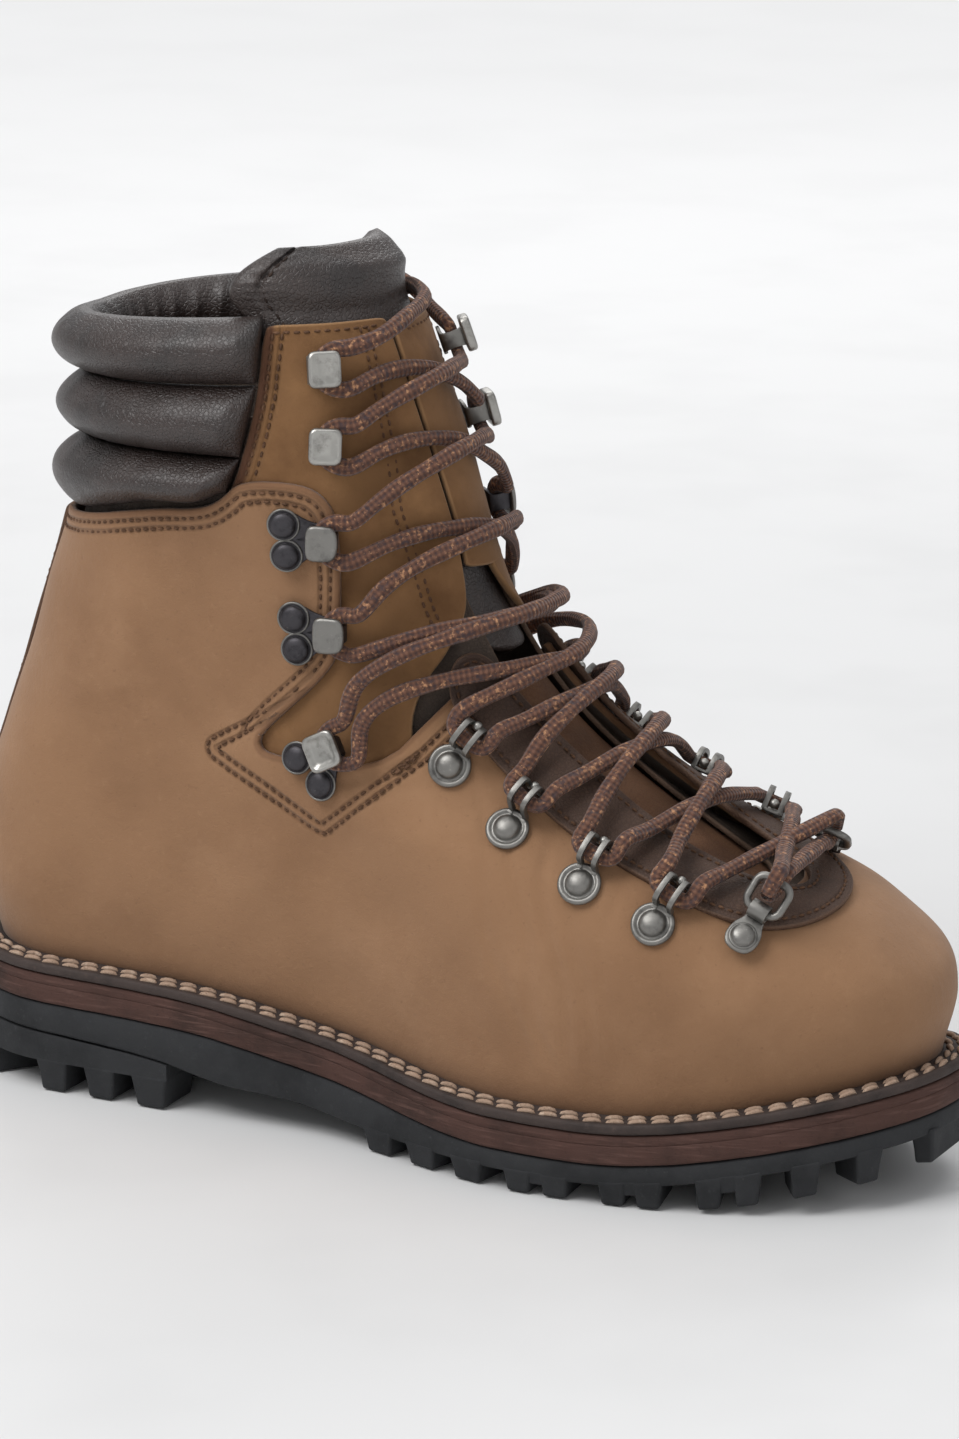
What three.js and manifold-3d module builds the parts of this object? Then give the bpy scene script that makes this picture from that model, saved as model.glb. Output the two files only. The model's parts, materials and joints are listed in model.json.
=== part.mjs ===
// Laced leather mountaineering boot for the right foot.
// Millimetres. +X points to the toe, +Y to the inner side of the foot, -Y to the outer side, +Z up.
// The heel and the ball of the sole rest on z = 0.
import * as THREE from 'three';
import { mergeVertices } from 'three/addons/utils/BufferGeometryUtils.js';
import Module from 'manifold-3d';

const wasm = await Module();
wasm.setup();

// ---- Driving dimensions ------------------------------------------------------------------------

const LAST_LENGTH = 286; // heel to toe along the feather line, where the upper meets the welt
const SHAFT_RISE = 180; // feather line at the heel to the back of the collar
const BALL_WIDTH = 92; // width of the upper at the ball of the foot
const FIT_GAP = 0.3; // room between two pieces that touch
const HARDWARE_GAP = 0.9; // room under a flat plate on curved leather

const UPPER_LEATHER = 2.2;
const INTERLAYER = 1.8; // flaps, toe puff and heel counter share this layer
const LINING = 1.6;
const FACING_LEATHER = 1.9;
const BACKSTAY_LEATHER = 1.2;
const BACKSTAY_COLUMNS = 0.65; // half its width, in facets
const TONGUE_LEATHER = 2.0;
const TONGUE_PAD = 7.5;
const ROLL_BACK_GAP = 0.9;
const ROLL_PROUD = 6.2; // how far a collar roll stands outside the leather below it
const TOP_ROLL_DEPTH = 3.4; // how far the top roll stands inside the lining

const WELT_EDGE = 8; // welt beyond the upper
const WELT_UNDERLAP = 6; // welt inside the upper
const WELT_THICKNESS = 3;
const STITCH_THREAD = 1.6;
const STITCH_ROWS = [2.3, 5.3]; // distance of each welt seam outside the upper
const MIDSOLE = 8.6;
const LUG_ROOT = 2.5; // how far a lug reaches up into the sole above it
const MIDSOLE_INSET = 0.4; // from the edge of the welt
const OUTSOLE_INSET = 0.8;
const HEEL_LUG_DEPTH = 9;
const HEEL_BREAST = -69; // front face of the heel block
// Heights along the sole as [x, z]: the top of the welt and the underside of the rubber between the lugs.
const WELT_TOP = [[-150, 39.5], [-110, 38.5], [-60, 36.5], [-20, 30.5], [40, 23.5], [80, 24], [155, 38]];
const OUTSOLE_UNDERSIDE = [[-150, 19], [-100, 17], [-72, 14.5], [-52, 10.5], [-30, 9.2], [-8, 6.3], [40, 5.6],
  [80, 6], [155, 20]];
const TOE_GROUND = [[20, 0], [84, 0], [158, 12]]; // lower ends of the lugs, where the toe springs up
const INSOLE_BOARD = 2.6;
const FOOTBED = 4.5;
const SHANK = { length: 110, width: 16, thickness: 1.4, centre: -38 };

const THROAT_LINE = [[20, 2], [60, 1], [110, -2.5]]; // where the lacing runs over the instep, as [x, y]
const LACE_DIAMETER = 4.2;
const HOOK_PLATE = 1;
const HOOK_NECK = { x: 2.8, half: 0.8, height: 5 };
const HOOK_CAP = { back: -4.6, front: 4.2, height: 9.6, thickness: 1.3 };
const RIVET_RADIUS = 3.7;
const EYELET_RADIUS = 6;
const EYELET_RIVET_RADIUS = 3.4;
const EYELET_REACH = 12.6; // rivet to ball
const ARM_SPACING = 4.6;
const ARM_WIDTH = 1.2;
const BALL_RADIUS = 1.4;
const RING_WIRE = 1.1;
const RING_REACH = 9.2;
const RING_HALF_WIDTH = 5;
const RING_TILT = THREE.MathUtils.degToRad(26);

const laceRadius = LACE_DIAMETER / 2;
const interlayerOuter = -UPPER_LEATHER - FIT_GAP;
const interlayerInner = interlayerOuter - INTERLAYER;
const liningOuter = interlayerInner - FIT_GAP;
const liningInner = liningOuter - LINING;
const facingTop = FIT_GAP + FACING_LEATHER;
const tongueOuter = liningInner - 3 * FIT_GAP;

// ---- The last: the shape that the upper is drawn over -------------------------------------------

// Ten stations, from the feather line (0) past the collar top (8) to the tongue tip (9). Each station is
// a flat loop through a back point and a front point, drawn for a last 286 long and 92 wide.
const LAST = {
  backX: [-141, -147, -145, -138, -131, -123, -115, -111, -112, -112],
  backZ: [44, 62, 82, 102, 122, 145, 170, 196, 224, 247],
  frontX: [145, 148, 142, 121, 85, 46, 21, 8, -9, -20],
  frontZ: [37, 53, 66, 80, 94, 120, 152, 188, 228, 251],
  frontY: [10, 10, 10, 9, 6, 3, 1, 0, 0, 0],
  heelRound: [34, 38, 40, 42, 44, 44, 46, 50, 50, 50],
  toeRound: [95, 92, 90, 92, 95, 80, 68, 60, 52, 48],
  toeSquare: [2.1, 2.3, 2.4, 2.3, 2.1, 2.0, 2.0, 2.0, 2.0, 2.0],
  outerHeel: [33, 37, 38, 38, 37, 37, 38, 41, 43, 43],
  outerWaist: [33, 38, 40, 40, 39, 38, 40, 44, 46, 46],
  outerBall: [49, 51, 50, 46, 40, 37, 38, 41, 43, 43],
  innerHeel: [33, 37, 38, 38, 37, 37, 38, 41, 43, 43],
  innerWaist: [28, 33, 36, 38, 39, 38, 40, 44, 46, 46],
  innerBall: [43, 46, 46, 43, 39, 37, 38, 41, 43, 43],
};
const HEEL_SQUARE = 2.15;
const SETTLE_STATIONS = 2.4; // stations over which the flat loops settle onto the curved welt
const COLLAR_TOP = 8;
const TONGUE_TIP = 9;
const COLUMNS = 36; // facets round the last
const ROW = 2 / 3; // height of a facet, in stations
const BASE_LENGTH = 286;
const BASE_RISE = 180;
const BASE_WIDTH = 92;
const BASE_FEATHER = 44;

const alongX = (x) => x * LAST_LENGTH / BASE_LENGTH;
const acrossY = (y) => y * BALL_WIDTH / BASE_WIDTH;
const upZ = (z) => BASE_FEATHER + (z - BASE_FEATHER) * SHAFT_RISE / BASE_RISE;

function scaled(name) {
  if (name.endsWith('X') || name.endsWith('Round')) return LAST[name].map(alongX);
  if (name.endsWith('Z')) return LAST[name].map(upZ);
  if (name.endsWith('Square')) return LAST[name];
  return LAST[name].map(acrossY);
}
const stations = Object.fromEntries(Object.keys(LAST).map((name) => [name, scaled(name)]));

function smoothAt(values, position) {
  const last = values.length - 1;
  const at = Math.min(Math.max(position, 0), last - 1e-9);
  const i = Math.floor(at);
  const f = at - i;
  const p1 = values[i];
  const p2 = values[i + 1];
  const p0 = i === 0 ? 2 * p1 - p2 : values[i - 1];
  const p3 = i === last - 1 ? 2 * p2 - p1 : values[i + 2];
  return 0.5 * (2 * p1 + (p2 - p0) * f + (2 * p0 - 5 * p1 + 4 * p2 - p3) * f ** 2
    + (3 * p1 - p0 - 3 * p2 + p3) * f ** 3);
}

const smoothPoint = (points, position) => points[0].map((_, k) => smoothAt(points.map((p) => p[k]), position));

// A curve through (x, y) pairs that never overshoots them.
function heightAt(pairs, x) {
  const last = pairs.length - 1;
  const at = Math.min(Math.max(x, pairs[0][0]), pairs[last][0]);
  const slope = (k) => (pairs[k + 1][1] - pairs[k][1]) / (pairs[k + 1][0] - pairs[k][0]);
  const tangent = (k) => {
    if (k === 0) return slope(0);
    if (k === last) return slope(last - 1);
    return slope(k - 1) * slope(k) <= 0 ? 0 : (slope(k - 1) + slope(k)) / 2;
  };
  let i = 0;
  while (i < last - 1 && at > pairs[i + 1][0]) i += 1;
  const width = pairs[i + 1][0] - pairs[i][0];
  const f = (at - pairs[i][0]) / width;
  return pairs[i][1] * (2 * f ** 3 - 3 * f ** 2 + 1) + tangent(i) * width * (f ** 3 - 2 * f ** 2 + f)
    + pairs[i + 1][1] * (3 * f ** 2 - 2 * f ** 3) + tangent(i + 1) * width * (f ** 3 - f ** 2);
}

const soleHeight = (pairs, x) => heightAt(pairs.map(([a, z]) => [alongX(a), z]), x);
const weltTop = (x) => soleHeight(WELT_TOP, x);

function stationAt(t) {
  return Object.fromEntries(Object.keys(stations).map((name) => [name, smoothAt(stations[name], t)]));
}

const ease = (f) => 3 * f ** 2 - 2 * f ** 3;

function halfWidth(s, length, c, side) {
  const [heel, waist, ball] = side < 0
    ? [s.outerHeel, s.outerWaist, s.outerBall] : [s.innerHeel, s.innerWaist, s.innerBall];
  const heelEnd = s.heelRound / length;
  const toeStart = 1 - s.toeRound / length;
  const q = (Math.min(Math.max(c, heelEnd), toeStart) - heelEnd) / (toeStart - heelEnd);
  const side0 = q < 0.5 ? heel + (waist - heel) * ease(2 * q) : waist + (ball - waist) * ease(2 * q - 1);
  const heelPart = c < heelEnd ? (1 - (1 - c / heelEnd) ** HEEL_SQUARE) ** (1 / HEEL_SQUARE) : 1;
  const toePart = c > toeStart
    ? Math.max(0, 1 - ((c - toeStart) / (1 - toeStart)) ** s.toeSquare) ** (1 / s.toeSquare) : 1;
  return side0 * heelPart * toePart;
}

const sideOf = (angle) => (THREE.MathUtils.euclideanModulo(angle, 2 * Math.PI) < Math.PI ? -1 : 1);

// A point of the last: station t, and the angle that runs from the heel (0) along the outer side to the
// front (pi) and back along the inner side.
function lastPoint(t, angle) {
  const s = stationAt(t);
  const side = sideOf(angle);
  const c = Math.min(Math.max((1 - Math.cos(angle)) / 2, 0), 1);
  const length = Math.hypot(s.frontX - s.backX, s.frontZ - s.backZ);
  const x = s.backX + (s.frontX - s.backX) * c;
  const flat = s.backZ + (s.frontZ - s.backZ) * c;
  const y = s.frontY * c ** 1.5 + side * halfWidth(s, length, c, side);
  const first = (x - stations.backX[0]) / (stations.frontX[0] - stations.backX[0]);
  const flatFeather = stations.backZ[0] + (stations.frontZ[0] - stations.backZ[0]) * first;
  const drop = flatFeather - weltTop(x) - FIT_GAP;
  return new THREE.Vector3(x, y, flat - drop * Math.max(0, 1 - t / SETTLE_STATIONS) ** 2);
}

function lastNormal(t, angle) {
  const step = 0.004;
  const up = lastPoint(Math.min(t + step, TONGUE_TIP), angle).sub(lastPoint(Math.max(t - step, 0), angle));
  const around = lastPoint(t, angle + step).sub(lastPoint(t, angle - step));
  return around.cross(up).normalize();
}

const layerPoint = (t, angle, out) => lastPoint(t, angle).addScaledVector(lastNormal(t, angle), out);

// ---- Finding a place on the last ----------------------------------------------------------------

function bisect(low, high, isLow) {
  let [a, b] = [low, high];
  for (let k = 0; k < 40; k += 1) {
    const middle = (a + b) / 2;
    if (isLow(middle)) a = middle;
    else b = middle;
  }
  return (a + b) / 2;
}

function angleAtX(t, x, side) {
  const s = stationAt(t);
  const c = Math.min(Math.max((x - s.backX) / (s.frontX - s.backX), 0), 1);
  const angle = Math.acos(1 - 2 * c);
  return side < 0 ? angle : 2 * Math.PI - angle;
}

const topStation = (x) => bisect(1, TONGUE_TIP, (t) => stationAt(t).frontX > x);

// Place with a given x and z on one side of the boot.
function onSide(x, z, side) {
  const t = bisect(0, topStation(x), (m) => lastPoint(m, angleAtX(m, x, side)).z < z);
  return { t, angle: angleAtX(t, x, side) };
}

// Place with a given x and y on the instep or the toe.
function onInstep(x, y) {
  const ridge = topStation(x);
  const side = y < stationAt(ridge).frontY ? -1 : 1;
  const reach = (m) => side * lastPoint(m, angleAtX(m, x, side)).y;
  let low = ridge;
  while (low > 0.05 && reach(low - 0.05) > reach(low)) low -= 0.05;
  const t = bisect(low, ridge, (m) => reach(m) > side * y);
  return { t, angle: angleAtX(t, x, side) };
}

// Place at station t whose distance along the loop from the front is w, negative to the outer side.
function atWidth(t, w) {
  const step = 0.02;
  let angle = Math.PI;
  let left = Math.abs(w);
  while (left > 0 && angle > step) {
    const length = lastPoint(t, angle).distanceTo(lastPoint(t, angle - step * Math.sign(-w || 1)));
    if (length > left) return { t, angle: angle - step * Math.sign(-w || 1) * left / length };
    left -= length;
    angle -= step * Math.sign(-w || 1);
  }
  return { t, angle };
}

const placePoint = (place, out) => layerPoint(place.t, place.angle, out);

// ---- Closed meshes ------------------------------------------------------------------------------

function closedMesh(points, faces) {
  const index = [];
  for (const face of faces) {
    for (let k = 1; k < face.length - 1; k += 1) {
      if (new Set([face[0], face[k], face[k + 1]]).size === 3) index.push(face[0], face[k], face[k + 1]);
    }
  }
  let volume = 0;
  for (let k = 0; k < index.length; k += 3) {
    const [a, b, c] = [points[index[k]], points[index[k + 1]], points[index[k + 2]]];
    volume += a.dot(b.clone().cross(c));
  }
  if (volume < 0) index.reverse();
  const geometry = new THREE.BufferGeometry().setFromPoints(points);
  geometry.setIndex(index);
  return geometry;
}

// A solid sheet between two faces. at(u, v, 0) is the inner face and at(u, v, 1) the outer face.
function sheet(columns, rows, at, wraps = false) {
  const points = [];
  const width = wraps ? columns : columns + 1;
  for (let side = 0; side < 2; side += 1) {
    for (let j = 0; j <= rows; j += 1) {
      for (let i = 0; i < width; i += 1) points.push(at(i / columns, j / rows, side));
    }
  }
  const id = (i, j, side) => side * width * (rows + 1) + j * width + (i % width);
  const faces = [];
  for (let i = 0; i < columns; i += 1) {
    for (let j = 0; j < rows; j += 1) {
      faces.push([id(i, j, 1), id(i + 1, j, 1), id(i + 1, j + 1, 1), id(i, j + 1, 1)]);
      faces.push([id(i, j, 0), id(i, j + 1, 0), id(i + 1, j + 1, 0), id(i + 1, j, 0)]);
    }
    faces.push([id(i, 0, 0), id(i + 1, 0, 0), id(i + 1, 0, 1), id(i, 0, 1)]);
    faces.push([id(i, rows, 1), id(i + 1, rows, 1), id(i + 1, rows, 0), id(i, rows, 0)]);
  }
  if (!wraps) {
    for (let j = 0; j < rows; j += 1) {
      faces.push([id(0, j, 1), id(0, j + 1, 1), id(0, j + 1, 0), id(0, j, 0)]);
      faces.push([id(columns, j, 0), id(columns, j + 1, 0), id(columns, j + 1, 1), id(columns, j, 1)]);
    }
  }
  return closedMesh(points, faces);
}

// A tube whose centre line closes on itself. across(i) and up(i) are unit vectors of its section.
function tubeLoop(centres, across, up, radius, sides) {
  const points = [];
  centres.forEach((centre, i) => {
    for (let j = 0; j < sides; j += 1) {
      const angle = 2 * Math.PI * (j + 0.5) / sides;
      points.push(centre.clone().addScaledVector(across(i), radius * Math.cos(angle))
        .addScaledVector(up(i), radius * Math.sin(angle)));
    }
  });
  const count = centres.length;
  const id = (i, j) => (i % count) * sides + (j % sides);
  const faces = [];
  for (let i = 0; i < count; i += 1) {
    for (let j = 0; j < sides; j += 1) faces.push([id(i, j), id(i + 1, j), id(i + 1, j + 1), id(i, j + 1)]);
  }
  return closedMesh(points, faces);
}

function toManifold(geometry) {
  const bare = geometry.clone();
  bare.deleteAttribute('normal');
  bare.deleteAttribute('uv');
  const merged = mergeVertices(bare, 1e-4);
  const vertProperties = new Float32Array(merged.attributes.position.array);
  const triVerts = new Uint32Array(merged.index.array);
  return new wasm.Manifold(new wasm.Mesh({ numProp: 3, vertProperties, triVerts }));
}

function toGeometry(manifold) {
  const mesh = manifold.getMesh();
  const geometry = new THREE.BufferGeometry();
  geometry.setAttribute('position', new THREE.BufferAttribute(new Float32Array(mesh.vertProperties), 3));
  geometry.setIndex(new THREE.BufferAttribute(new Uint32Array(mesh.triVerts), 1));
  return geometry;
}

const join = (shapes) => toGeometry(shapes.map(toManifold).reduce((a, b) => a.add(b)));
const overlapOf = (a, b) => toGeometry(toManifold(a).intersect(toManifold(b)));
const cut = (body, cutters) => toGeometry(cutters.map(toManifold).reduce((a, b) => a.subtract(b), toManifold(body)));

// A prism across the boot from a side outline of [x, z] points.
function sidePrism(outline) {
  const shape = new THREE.Shape(outline.map(([x, z]) => new THREE.Vector2(alongX(x), upZ(z))));
  const depth = 3 * BALL_WIDTH;
  const prism = new THREE.ExtrudeGeometry(shape, { depth, bevelEnabled: false, curveSegments: 6 });
  return prism.rotateX(Math.PI / 2).translate(0, depth / 2, 0);
}

function block(x0, x1, y0, y1, z0, z1) {
  return new THREE.BoxGeometry(x1 - x0, y1 - y0, z1 - z0).translate((x0 + x1) / 2, (y0 + y1) / 2, (z0 + z1) / 2);
}

const disc = (x, y, z0, z1, radius, sides = 8) => new THREE.CylinderGeometry(radius, radius, z1 - z0, sides)
  .rotateX(Math.PI / 2).translate(x, y, (z0 + z1) / 2);

// ---- The sole -----------------------------------------------------------------------------------

const SOLE_STEPS = 56;

// The feather line moved out by a distance, as [x, y] points from the heel along the outer side.
function soleOutline(out) {
  const points = [];
  for (let k = 0; k < SOLE_STEPS; k += 1) {
    const angle = 2 * Math.PI * k / SOLE_STEPS;
    const ahead = lastPoint(0, angle + 0.01);
    const behind = lastPoint(0, angle - 0.01);
    const normal = new THREE.Vector2(ahead.y - behind.y, behind.x - ahead.x).normalize();
    const here = lastPoint(0, angle);
    const side = Math.sign(normal.x * here.x + normal.y * here.y * 4) || 1;
    points.push([here.x + side * out * normal.x, here.y + side * out * normal.y]);
  }
  return points;
}

// A plate with a sole outline between two heights.
function plate(outline, top, bottom) {
  const count = outline.length;
  const points = [];
  for (const height of [bottom, top]) {
    for (const [x, y] of outline) points.push(new THREE.Vector3(x, y, height(x)));
  }
  const faces = [];
  for (let k = 0; k < count; k += 1) {
    const next = (k + 1) % count;
    faces.push([k, next, count + next, count + k]);
  }
  for (let k = 0; k < count / 2; k += 1) {
    const across = (count - k) % count;
    const rung = [k, k + 1, count - k - 1, across].filter((v, i, list) => list.indexOf(v) === i);
    faces.push([...rung].reverse());
    faces.push(rung.map((v) => v + count));
  }
  return closedMesh(points, faces);
}

function soleFrame(outside, inside, top, bottom) {
  const outer = soleOutline(outside);
  const inner = soleOutline(inside);
  const at = (u, v, side) => {
    const k = Math.round(u * SOLE_STEPS) % SOLE_STEPS;
    const [x, y] = side ? outer[k] : inner[k];
    return new THREE.Vector3(x, y, v ? top(x) : bottom(x));
  };
  return sheet(SOLE_STEPS, 1, at, true);
}

const weltBottom = (x) => weltTop(x) - WELT_THICKNESS;
const midsoleTop = (x) => weltBottom(x) - FIT_GAP;
const midsoleBottom = (x) => midsoleTop(x) - MIDSOLE;
const outsoleTop = (x) => midsoleBottom(x) - FIT_GAP;
const outsoleBottom = (x) => soleHeight(OUTSOLE_UNDERSIDE, x);
const toeGround = (x) => soleHeight(TOE_GROUND, x);

const welt = () => soleFrame(WELT_EDGE, -WELT_UNDERLAP, weltTop, weltBottom);

const midsole = () => plate(soleOutline(WELT_EDGE - MIDSOLE_INSET), midsoleTop, midsoleBottom);

const fillerInset = WELT_UNDERLAP + FIT_GAP;
const shankStart = alongX(SHANK.centre - SHANK.length / 2);
const shankEnd = alongX(SHANK.centre + SHANK.length / 2);

function shankSlab(margin) {
  const half = SHANK.width / 2 + margin;
  const lift = SHANK.thickness + margin;
  const steps = 10;
  const x = (u) => shankStart - margin + (shankEnd - shankStart + 2 * margin) * u;
  const drop = margin ? 2 : 0;
  const at = (u, v, side) => new THREE.Vector3(x(u), (2 * v - 1) * half,
    side ? weltBottom(x(u)) + lift : weltBottom(x(u)) - drop);
  return sheet(steps, 1, at);
}

const corkFiller = () => cut(plate(soleOutline(-fillerInset), weltTop, weltBottom), [shankSlab(FIT_GAP)]);

const boardBottom = (x) => weltTop(x) + FIT_GAP;
const boardTop = (x) => boardBottom(x) + INSOLE_BOARD;
const boardInset = -liningInner + 3 * FIT_GAP;
const insoleBoard = () => plate(soleOutline(-boardInset), boardTop, boardBottom);
const footbedBottom = (x) => boardTop(x) + FIT_GAP;
const footbed = () => plate(soleOutline(-boardInset - 0.6), (x) => footbedBottom(x) + FOOTBED, footbedBottom);

function weltSeam(out) {
  const lift = STITCH_THREAD / 2 + FIT_GAP;
  const centres = soleOutline(out).map(([x, y]) => new THREE.Vector3(x, y, weltTop(x) + lift));
  const count = centres.length;
  const across = (i) => {
    const along = centres[(i + 1) % count].clone().sub(centres[(i + count - 1) % count]);
    return new THREE.Vector3(-along.y, along.x, 0).normalize();
  };
  return tubeLoop(centres, across, () => new THREE.Vector3(0, 0, 1), STITCH_THREAD / 2, 4);
}

// A lug: a block that narrows downwards, turned about its own middle.
function lug(x, y, length, width, turn, top, ground) {
  const shrink = 0.82;
  const points = [];
  for (const [level, share] of [[0, shrink], [1, 1]]) {
    for (const [a, b] of [[-1, -1], [1, -1], [1, 1], [-1, 1]]) {
      const dx = a * length / 2 * share;
      const dy = b * width / 2 * share;
      const px = x + dx * Math.cos(turn) - dy * Math.sin(turn);
      const py = y + dx * Math.sin(turn) + dy * Math.cos(turn);
      points.push(new THREE.Vector3(px, py, level ? top(x) + LUG_ROOT : ground(px)));
    }
  }
  return closedMesh(points, [[0, 3, 2, 1], [4, 5, 6, 7], [0, 1, 5, 4], [1, 2, 6, 5], [2, 3, 7, 6], [3, 0, 4, 7]]);
}

// Lugs set square to the edge of the sole, between two places along it.
function edgeLugs(from, to, count, length, width, top, ground) {
  const lugs = [];
  for (const side of [-1, 1]) {
    for (let k = 0; k < count; k += 1) {
      const x = alongX(from + (to - from) * k / (count - 1));
      const angle = angleAtX(0, x, side);
      const here = lastPoint(0, angle);
      const along = lastPoint(0, angle + 0.02).sub(lastPoint(0, angle - 0.02)).multiplyScalar(-side);
      const turn = Math.atan2(along.y, along.x);
      const inward = width / 2 - WELT_EDGE + 1.2;
      const px = here.x - side * Math.sin(turn) * -inward;
      const py = here.y - side * Math.cos(turn) * inward;
      lugs.push(lug(px, py, length, width, turn, top, ground));
    }
  }
  return lugs;
}

function outsole() {
  const base = plate(soleOutline(WELT_EDGE - OUTSOLE_INSET), outsoleTop, outsoleBottom);
  const lugs = edgeLugs(6, 132, 9, 11.5, 20, outsoleBottom, toeGround);
  for (const x of [20, 48, 76, 102]) {
    lugs.push(lug(alongX(x), acrossY(3), 15, 22, Math.PI / 4, outsoleBottom, toeGround));
  }
  lugs.push(lug(alongX(147), acrossY(9), 7, 26, 0, outsoleBottom, toeGround));
  return join([base, ...lugs]);
}

function heelBlock() {
  const outline = soleOutline(WELT_EDGE - OUTSOLE_INSET);
  const bottom = () => HEEL_LUG_DEPTH;
  const whole = plate(outline, (x) => outsoleBottom(x) - FIT_GAP, bottom);
  const front = alongX(HEEL_BREAST);
  const body = cut(whole, [block(front, LAST_LENGTH, -BALL_WIDTH, BALL_WIDTH, -50, 90)]);
  const ground = () => 0;
  const lugs = edgeLugs(-128, HEEL_BREAST - 8, 3, 12.5, 20, bottom, ground);
  lugs.push(lug(alongX(-142), 0, 11, 24, 0, bottom, ground));
  lugs.push(lug(alongX(-112), 0, 13, 17, Math.PI / 4, bottom, ground));
  lugs.push(lug(alongX(HEEL_BREAST - 8), 0, 12, 24, 0, bottom, ground));
  return join([body, ...lugs]);
}

// ---- The leather upper --------------------------------------------------------------------------

// A layer round the last between two depths, from one row and column of facets to another. Layers that lie
// on each other share these facets, so the gap between them stays even.
function lastLayer(inner, outer, rows, columns = [0, COLUMNS]) {
  const wraps = columns[1] - columns[0] === COLUMNS;
  const at = (u, v, side) => {
    const t = Math.min(ROW * (rows[0] + (rows[1] - rows[0]) * v), TONGUE_TIP);
    const angle = 2 * Math.PI * (columns[0] + (columns[1] - columns[0]) * u) / COLUMNS;
    return layerPoint(t, angle, side ? outer : inner);
  };
  return sheet(Math.ceil(columns[1] - columns[0]), rows[1] - rows[0], at, wraps);
}

// Back, top and ankle edges of the quarter in side view, then the V notch for the ankle to bend.
const QUARTER_EDGE = [[-130, 166], [-104, 168], [-72, 175], [-56, 176.5], [-49, 180], [-44, 185.5], [-25, 186.5],
  [-19, 183], [-15.5, 174], [-15, 142], [-18, 134], [-38, 115], [-39, 111.5], [-36, 108.8], [-2, 108.8],
  [12, 125.5], [26, 142], [60, 200], [60, 300], [-130, 300]];
// Edges of the facing on both sides of the throat, as [x, distance from the throat line].
const FACING_OUTER = [[11, 28], [26, 28.3], [46, 29], [70, 30.8], [88, 30.3], [103, 26.5], [113, 21], [120, 12],
  [122.5, 0]];
const FACING_INNER = [[20, 18], [32, 15.6], [46, 13.8], [70, 13.4], [88, 12], [100, 11], [106, 8.5], [110, 4.5],
  [111.5, 0]];
const FACING_OVERLAP = 7; // the facing reaches this far past the edge of the leather below it
const THROAT_HALF = 14; // half width of the throat opening
const THROAT_TOE = 0.15; // share of the opening's length that rounds off at the toe
const CUT_OUT = 14; // how far a cutter reaches outside the last
const CUT_IN = 9;
const FLAP_GAP = 1.6;
const FLAP_FOOT = 3.7; // station of the lower end of a flap
const FLAP_FRONT = [[FLAP_FOOT, -98], [4.5, -74], [5.3, -44], [5.6, -31], [6, -17], [6.3, -13], [7, -12], [8, -10]];
const FLAP_REAR = [[FLAP_FOOT, -50], [6, -50], [6.6, -48], [6.95, -43.5], [7.5, -38], [8, -36]];

const throatY = (x) => acrossY(heightAt(THROAT_LINE.map(([a, y]) => [alongX(a), y]), x));

function throatCutter(extra, start, front) {
  const at = (u, v, side) => {
    const x = alongX(start + (front - start) * u);
    const rounding = Math.sqrt(Math.max(0, 1 - Math.max(0, (u - 1 + THROAT_TOE) / THROAT_TOE) ** 2));
    const half = (acrossY(THROAT_HALF) + extra) * Math.max(rounding, 0.12);
    const place = onInstep(x, throatY(x) + (2 * v - 1) * half);
    return placePoint(place, side ? CUT_OUT : -CUT_IN);
  };
  return sheet(10, 2, at);
}

function upperShell() {
  const leather = lastLayer(-UPPER_LEATHER, 0, [0, 11]);
  return cut(leather, [sidePrism(QUARTER_EDGE), throatCutter(FACING_OVERLAP, 8, 109)]);
}

// What lies on the upper is trimmed to it.
const underFacing = () => lastLayer(-12, FIT_GAP, [0, 12]);

function facing() {
  const outer = FACING_OUTER.map(([x, a]) => [x, -a]).concat(FACING_OUTER.slice(0, -1).reverse());
  const inner = FACING_INNER.map(([x, a]) => [x, -a]).concat(FACING_INNER.slice(0, -1).reverse());
  const at = (u, v, side) => {
    const a = smoothPoint(outer, u * (outer.length - 1));
    const b = smoothPoint(inner, u * (inner.length - 1));
    const x = alongX(a[0] + (b[0] - a[0]) * v);
    const y = throatY(x) + acrossY(a[1] + (b[1] - a[1]) * v);
    return placePoint(onInstep(x, y), side ? facingTop : -1.5);
  };
  return cut(sheet(40, 2, at), [underFacing()]);
}

function backstay() {
  const strip = lastLayer(FIT_GAP, FIT_GAP + BACKSTAY_LEATHER, [0, 9], [-BACKSTAY_COLUMNS, BACKSTAY_COLUMNS]);
  const aboveSeam = weltTop(stations.backX[0]) + STITCH_THREAD + 3 * FIT_GAP;
  const seam = block(-LAST_LENGTH, 0, -BALL_WIDTH, BALL_WIDTH, 0, aboveSeam);
  return cut(strip, [sidePrism(QUARTER_EDGE), seam]);
}

function flapFrontWidth(t, side) {
  const lacing = acrossY(heightAt(FLAP_FRONT, t));
  if (side < 0) return lacing;
  const mirrored = -lacing * Math.min(1, Math.max(0, (6.3 - t) / 0.7));
  return t > 6.3 ? lacing + FLAP_GAP : Math.max(lacing + FLAP_GAP, mirrored);
}

function flap(side) {
  const outline = (u, v, layer) => {
    const t = FLAP_FOOT + (COLLAR_TOP + 0.1 - FLAP_FOOT) * v;
    const front = atWidth(t, flapFrontWidth(t, side)).angle;
    const rear = angleAtX(t, alongX(heightAt(FLAP_REAR, t)), side);
    return layerPoint(t, rear + (front - rear) * u, layer ? 1 : interlayerInner - 3);
  };
  const columns = side < 0 ? [6, 19] : [17, 30];
  return overlapOf(lastLayer(interlayerInner, interlayerOuter, [5, 12], columns), sheet(5, 12, outline));
}

const stiffener = (rows, columns) => lastLayer(interlayerInner, interlayerOuter, rows, columns);

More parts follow.
